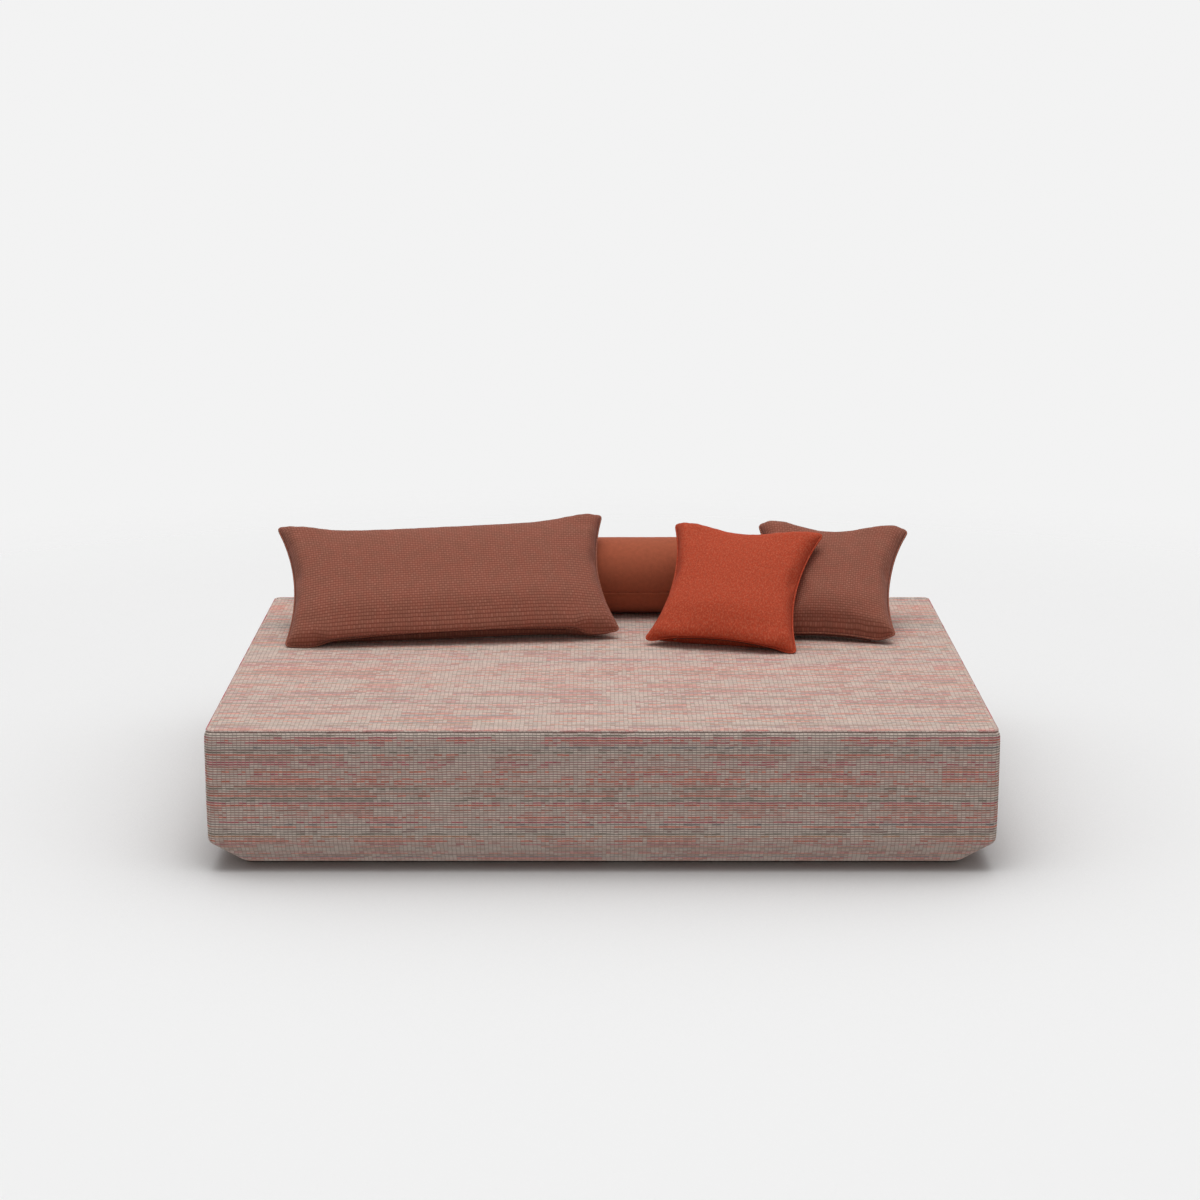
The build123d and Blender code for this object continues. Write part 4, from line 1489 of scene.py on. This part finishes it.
    def at_zip(self, points: np.ndarray) -> np.ndarray:
        """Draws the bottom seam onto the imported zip's arc, and lets the front panel hang over it.

        The seam's distance to the arc is taken off, times a share that falls smoothly past the zip's ends
        and by a bell over the distance from the seam, which is narrower on the front. Where the seam rose,
        the front panel goes down again by a second bell, a little way in from the seam. The first rows of
        the back panel stay above the arc, and come out to a plane that leans away from the seam by four
        fifths of the distance.

        Args:
            points: the case's points.

        Returns:
            The moved points.
        """
        _, up, face = self.spots()
        seam = points[:self.shares()[0].shape[1]]
        x, off = points[:, 0], (1 + up) * self.height / 2
        reach = np.clip((self.zip_length / 2 + 75 * MM - np.abs(x)) / (60 * MM), 0.0, 1.0)
        reach = reach * reach * (3 - 2 * reach)
        gap = np.interp(x, seam[:, 0], self.arc(seam[:, 0]) - seam[:, 1])
        share = reach * bell(off, 0.0, np.where(face > 0, 12 * MM, 24 * MM))
        moved = points.copy()
        moved[:, 1] += share * gap
        moved[:, 2] -= share * np.interp(x, seam[:, 0], seam[:, 2])
        hang = (face > 0) * bell(off, *self.hang_bell) * (1 - bell(off, 0.0, 7 * MM))
        moved[:, 1] -= self.hang * reach * hang * np.clip(gap, 0.0, None)
        strip = reach * (face < 0) * np.clip((20 * MM - off) / (4 * MM), 0.0, 1.0)
        lowest = -1.5 * MM - np.clip(off - 8 * MM, 0.0, None) * 0.8
        moved[:, 1] += strip * np.clip(self.arc(x) + 0.9 * off - moved[:, 1], 0.0, None)
        moved[:, 2] += strip * np.clip(lowest - moved[:, 2], 0.0, None)
        return moved

    def kept_clear(self, points: np.ndarray, support: Bolster) -> np.ndarray:
        """Flattens the case where it rests on something.

        Points below the pouf's top come up to it, points in the bolster go straight out of it, and near the
        place where two cushions touch, points past the plane between them go back to it.

        Args:
            points: the case's points, in place.
            support: the bolster.

        Returns:
            The moved points.
        """
        points = points.copy()
        points[:, 2] = np.maximum(points[:, 2], support.floor + 0.3 * MM)
        hub = np.array([support.axis_y, support.axis_z])
        off = points[:, 1:] - hub
        far = np.linalg.norm(off, axis=1)
        inside = (np.abs(points[:, 0] - support.middle_x) < support.length / 2 + support.bulge)
        reach = np.where(inside, support.radius + 1.2 * MM, 0.0)
        points[:, 1:] = hub + off * np.maximum(reach / far, 1.0)[:, None]
        if self.parting:
            spot, way = (np.array(value) for value in self.parting)
            past = np.clip((points - spot) @ way + 0.6 * MM, 0.0, None)
            near = np.clip((0.2 - np.linalg.norm(points - spot, axis=1)) / 0.06, 0.0, 1.0)
            points -= (past * near)[:, None] * way
        return points

    def build(self, finish: Material, support: Bolster) -> list[Piece]:
        """Makes the case and its welt, which ride on the cushion's body.

        Args:
            finish: their material.
            support: the bolster, which the case keeps clear of.

        Returns:
            The two pieces.
        """
        start, spread, faces, cloth = self.case()
        points = self.blow_up(start, spread, faces)
        points = self.settled(points)
        LOG.info("%s: %s", self.name, np.round(np.ptp(points, axis=0) / MM, 1))
        points = self.smooth(points, faces, 0.4)
        local = self.with_ears(self.filled_out(points))
        placed = self.kept_clear(self.placed(self.at_zip(local)), support)
        case = make_piece(f"{self.name}_case", placed, faces, finish, cloth)
        add_modifier(case, "SUBSURF", levels=1, render_levels=1)
        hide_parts(*(f"{self.name}_{part}" for part in ("front", "back", "filling")))
        welt = self.welt(case, finish)
        for piece in (case, welt):
            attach(piece, self.name)
        return [case, welt]

    def welt(self, case: Piece, finish: Material) -> Piece:
        """The welt: a tube round the finished case's seam, most of a radius outside it, with rounded tips.

        Args:
            case: the case.
            finish: its material.

        Returns:
            The welt.
        """
        bpy.context.view_layer.update()
        finished = case.evaluated_get(bpy.context.evaluated_depsgraph_get()).data
        points = np.empty(len(finished.vertices) * 3, np.float32)
        finished.vertices.foreach_get("co", points)
        path = points.reshape(-1, 3)[self.seam()].astype(float)
        out = np.array(self.out)
        for _ in range(2):
            path = (np.roll(path, 1, 0) + 2 * path + np.roll(path, -1, 0)) / 4
        ahead = np.roll(path, -1, 0) - np.roll(path, 1, 0)
        away = np.cross(ahead, out)
        path = path + away / np.linalg.norm(away, axis=1, keepdims=True) * self.welt_radius * 0.8
        shape, faces, cloth = tube(path, self.welt_radius, out)
        piece = make_piece(f"{self.name}_welt_cord", shape, faces, finish, cloth, mend=True)
        add_modifier(piece, "SUBSURF", levels=1, render_levels=1)
        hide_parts(f"{self.name}_welt")
        return piece


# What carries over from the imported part


@dataclass(frozen=True)
class CarriedOver:
    """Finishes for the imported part's own pieces, by words in their names."""

    finishes: tuple[tuple[tuple[str, ...], Finish], ...]

    def dress(self) -> None:
        """Gives each node the first finish whose names fit it."""
        for names, finish in self.finishes:
            material = finish.build()
            for node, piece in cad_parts.items():
                if any(part in node for part in names) and "dressed" not in piece:
                    piece.data.materials.clear()
                    piece.data.materials.append(material)
                    piece["dressed"] = True
                    LOG.info("%s: %s", node, finish.name)


# Studio


@dataclass
class Studio:
    """Floor, background, lamp and camera."""

    white: float = 0.895
    floor_colour: float = 0.905
    floor_fade: tuple[float, float] = (3.9, 1.2)
    painted_shadow_power: float = 0.7
    painted_shadow_reach: float = 3.0
    ambient: float = 0.394
    overhead: float = 5.55
    overhead_power: float = 20.0
    lamp_power: float = 35.0
    lamp_size: float = 6.0
    lamp_place: tuple[float, float, float] = (0.0, -0.6, 5.2)
    camera_place: tuple[float, float, float] = (-0.005746, -7.9, 2.35977)
    camera_tilt: float = math.radians(77.2752)
    lens: float = 81.767

    def world(self) -> None:
        """Light from all round, stronger from overhead, and a pale background for the camera and gloss.

        The light from a direction is the even part plus the overhead part times the direction's height, from
        0 at the level to 1 straight up, raised to a power.
        """
        world = bpy.data.worlds.new("studio")
        bpy.context.scene.world = world
        world.use_nodes = True
        graph = Graph(world.node_tree)
        rays = graph.node("ShaderNodeLightPath").outputs
        seen = graph.math("MAXIMUM", graph.math("MAXIMUM", rays["Is Camera Ray"], rays["Is Glossy Ray"]),
                          rays["Is Transmission Ray"])
        height = graph.split(graph.node("ShaderNodeTexCoord").outputs["Generated"])[2]
        overhead = graph.math("POWER", graph.math("MAXIMUM", height, 0.0), self.overhead_power)
        light = graph.math("MULTIPLY_ADD", overhead, self.overhead, self.ambient)
        pale = (self.white,) * 3 + (1.0,)
        background = world.node_tree.nodes["Background"]
        graph.feed(background.inputs["Color"], graph.mix(seen, graph.vector(light, light, light), pale))

    def floor(self) -> None:
        """Round floor that only the camera and gloss see, so that the even light comes from all round.

        Its colour carries a painted shadow: it is darkened near the object by the share of the sky that the
        object hides, raised to a power. Its cover falls to nothing between two distances from the middle.
        """
        bpy.ops.mesh.primitive_circle_add(
            vertices=96, radius=14.0, fill_type="NGON", location=(0.0, 0.0, 0.0))
        floor = bpy.context.object
        floor.name = "floor"
        material = bpy.data.materials.new("floor_paint")
        material.use_nodes = True
        tree = material.node_tree
        graph = Graph(tree)
        shader = tree.nodes["Principled BSDF"]
        shader.inputs["Roughness"].default_value = 0.95
        shader.inputs["Specular IOR Level"].default_value = 0.0
        # Painted shadow: the floor's colour darkens by the share of sky hidden near the object.
        open_sky = graph.node("ShaderNodeAmbientOcclusion", samples=8)
        open_sky.inputs["Distance"].default_value = self.painted_shadow_reach
        open_share = graph.math("POWER", open_sky.outputs["AO"], self.painted_shadow_power)
        shade = graph.math("MULTIPLY", open_share, self.floor_colour)
        graph.feed(shader.inputs["Base Color"], graph.vector(shade, shade, shade))
        rays = graph.node("ShaderNodeLightPath").outputs
        seen = graph.math("MAXIMUM", rays["Is Camera Ray"], rays["Is Glossy Ray"])
        place = graph.place()
        far = graph.node("ShaderNodeVectorMath", operation="LENGTH")
        graph.feed(far.inputs[0], place)
        cover = graph.math("SUBTRACT", 1.0, graph.step(far.outputs["Value"], *self.floor_fade))
        graph.feed(shader.inputs["Alpha"], graph.math("MULTIPLY", cover, seen))
        floor.data.materials.append(material)

    def lamp(self) -> None:
        """One wide soft lamp overhead."""
        data = bpy.data.lights.new("softbox", "AREA")
        data.energy, data.size, data.shape = self.lamp_power, self.lamp_size, "DISK"
        lamp = bpy.data.objects.new("softbox", data)
        lamp.location = self.lamp_place
        bpy.context.scene.collection.objects.link(lamp)

    def camera(self) -> None:
        """The camera, where the photograph was taken from."""
        data = bpy.data.cameras.new("camera")
        data.lens, data.sensor_width = self.lens, 36.0
        data.clip_end = 100.0
        camera = bpy.data.objects.new("camera", data)
        camera.location = self.camera_place
        camera.rotation_euler = (self.camera_tilt, 0.0, 0.0)
        bpy.context.scene.collection.objects.link(camera)
        bpy.context.scene.camera = camera

    def build(self) -> None:
        """Sets the whole studio up."""
        bpy.context.scene.view_settings.view_transform = "Standard"
        self.world()
        self.floor()
        self.lamp()
        self.camera()


POUF_CLOTH = DobbyCloth("pouf_cloth", (0.79, 0.67, 0.59), relief=0.9 * MM)
WOVEN_CLOTH = BasketCloth("woven_cloth", (0.285, 0.1, 0.064), sheen=0.05, relief=0.9 * MM)
FELT_CLOTH = FeltCloth("felt_cloth", (0.47, 0.06, 0.0225), relief=0.35 * MM)
WADDING = Finish("wadding", (0.9, 0.9, 0.88), relief=0.6 * MM)
BOLSTER_CLOTH = PlainCloth("bolster_cloth", (0.42, 0.105, 0.05), sheen=0.05, relief=0.3 * MM)

CARRIED = CarriedOver((
    (("slider",), Metal("slider_metal", (0.55, 0.4, 0.22), roughness=0.32, metallic=1.0, relief=0.05 * MM)),
    (("screws",), Metal("steel", (0.6, 0.6, 0.6), roughness=0.3, metallic=1.0, relief=0.05 * MM)),
    (("zip",), RibbedTape("zip_tape", (0.17, 0.06, 0.042), relief=0.4 * MM)),
    (("strips",), RibbedTape("tape", (0.1, 0.1, 0.11), relief=0.5 * MM)),
    (("dust_cover",), Finish("dust_cloth", (0.05, 0.05, 0.05), relief=0.2 * MM)),
    (("glides",), Finish("glide_plastic", (0.06, 0.06, 0.06), roughness=0.55, specular=0.4, relief=0.1 * MM)),
    (("rear_rail", "front_rail", "front_bevel_rail", "rear_bevel_rail", "deck_board"),
     Timber("frame_wood", (0.62, 0.46, 0.3), roughness=0.6)),
    (("rail", "beam", "block"),
     Timber("frame_wood_across", (0.62, 0.46, 0.3), roughness=0.6, run=(60.0, 5.0, 60.0))),
    (("foam", "pad"), Porous("foam", (0.86, 0.82, 0.7), relief=0.4 * MM)),
))

# Where the felt cushion touches the woven one, and the way from the first into the second
PARTING_SPOT = (0.54905, 0.30317, 0.54528)
PARTING_WAY = (0.4441, 0.5748, -0.6873)
PARTING_BACK = tuple(-part for part in PARTING_WAY)

CUSHIONS = (
    (Cushion(
        name="long_cushion", slot="woven_cloth", seed=11,
        middle=(-0.48, 0.351153, 0.561962),
        out=(0.0552468, -0.6444260, 0.7626683),
        right=(0.9929283, 0.1158435, 0.0259568),
        length=1008 * MM, half_crown=80 * MM, zip_length=700 * MM, drop=34 * MM, rise=15 * MM,
        ears=((-0.007, 0.0, 0.0), (0.016, -0.006, 0.0), (0.006, -0.001, 0.0), (-0.015, 0.014, 0.0)),
    ), WOVEN_CLOTH),
    (Cushion(
        name="felt_cushion", slot="felt_cloth", seed=12,
        middle=(0.406, 0.261547, 0.556420),
        out=(-0.1350278, -0.6352561, 0.7604060),
        right=(0.9674249, -0.2503824, -0.0373848),
        rise=20 * MM, parting=(PARTING_SPOT, PARTING_WAY),
        ears=((-0.015, -0.004, 0.0), (0.011, 0.001, 0.0), (0.017, 0.011, 0.0), (-0.01, 0.0, 0.0)),
    ), FELT_CLOTH),
    (Cushion(
        name="woven_cushion", slot="woven_cloth", seed=13,
        middle=(0.699, 0.359735, 0.544382),
        out=(-0.0945747, -0.6180485, 0.7804304),
        right=(0.9874261, -0.1579872, -0.0054562),
        drop=-12 * MM, rise=33 * MM, parting=(PARTING_SPOT, PARTING_BACK),
        ears=((0.0, 0.0, 0.0), (0.002, 0.021, 0.024), (0.016, 0.002, 0.0), (-0.014, 0.006, 0.0)),
    ), WOVEN_CLOTH),
)


def main() -> None:
    """Builds the studio, the cover, the bolster and the cushions, and dresses what carries over."""
    logging.basicConfig(level=logging.INFO, format="%(name)s %(message)s")
    Studio().build()
    cover = PoufCover()
    cover.build(POUF_CLOTH.build())
    cover.wadding(WADDING.build())
    bolster = Bolster()
    bolster.build(BOLSTER_CLOTH.build())
    materials = {finish.name: finish.build() for finish in (WOVEN_CLOTH, FELT_CLOTH)}
    for cushion, finish in CUSHIONS:
        cushion.build(materials[finish.name], bolster)
    CARRIED.dress()


if __name__ == "__main__":
    main()
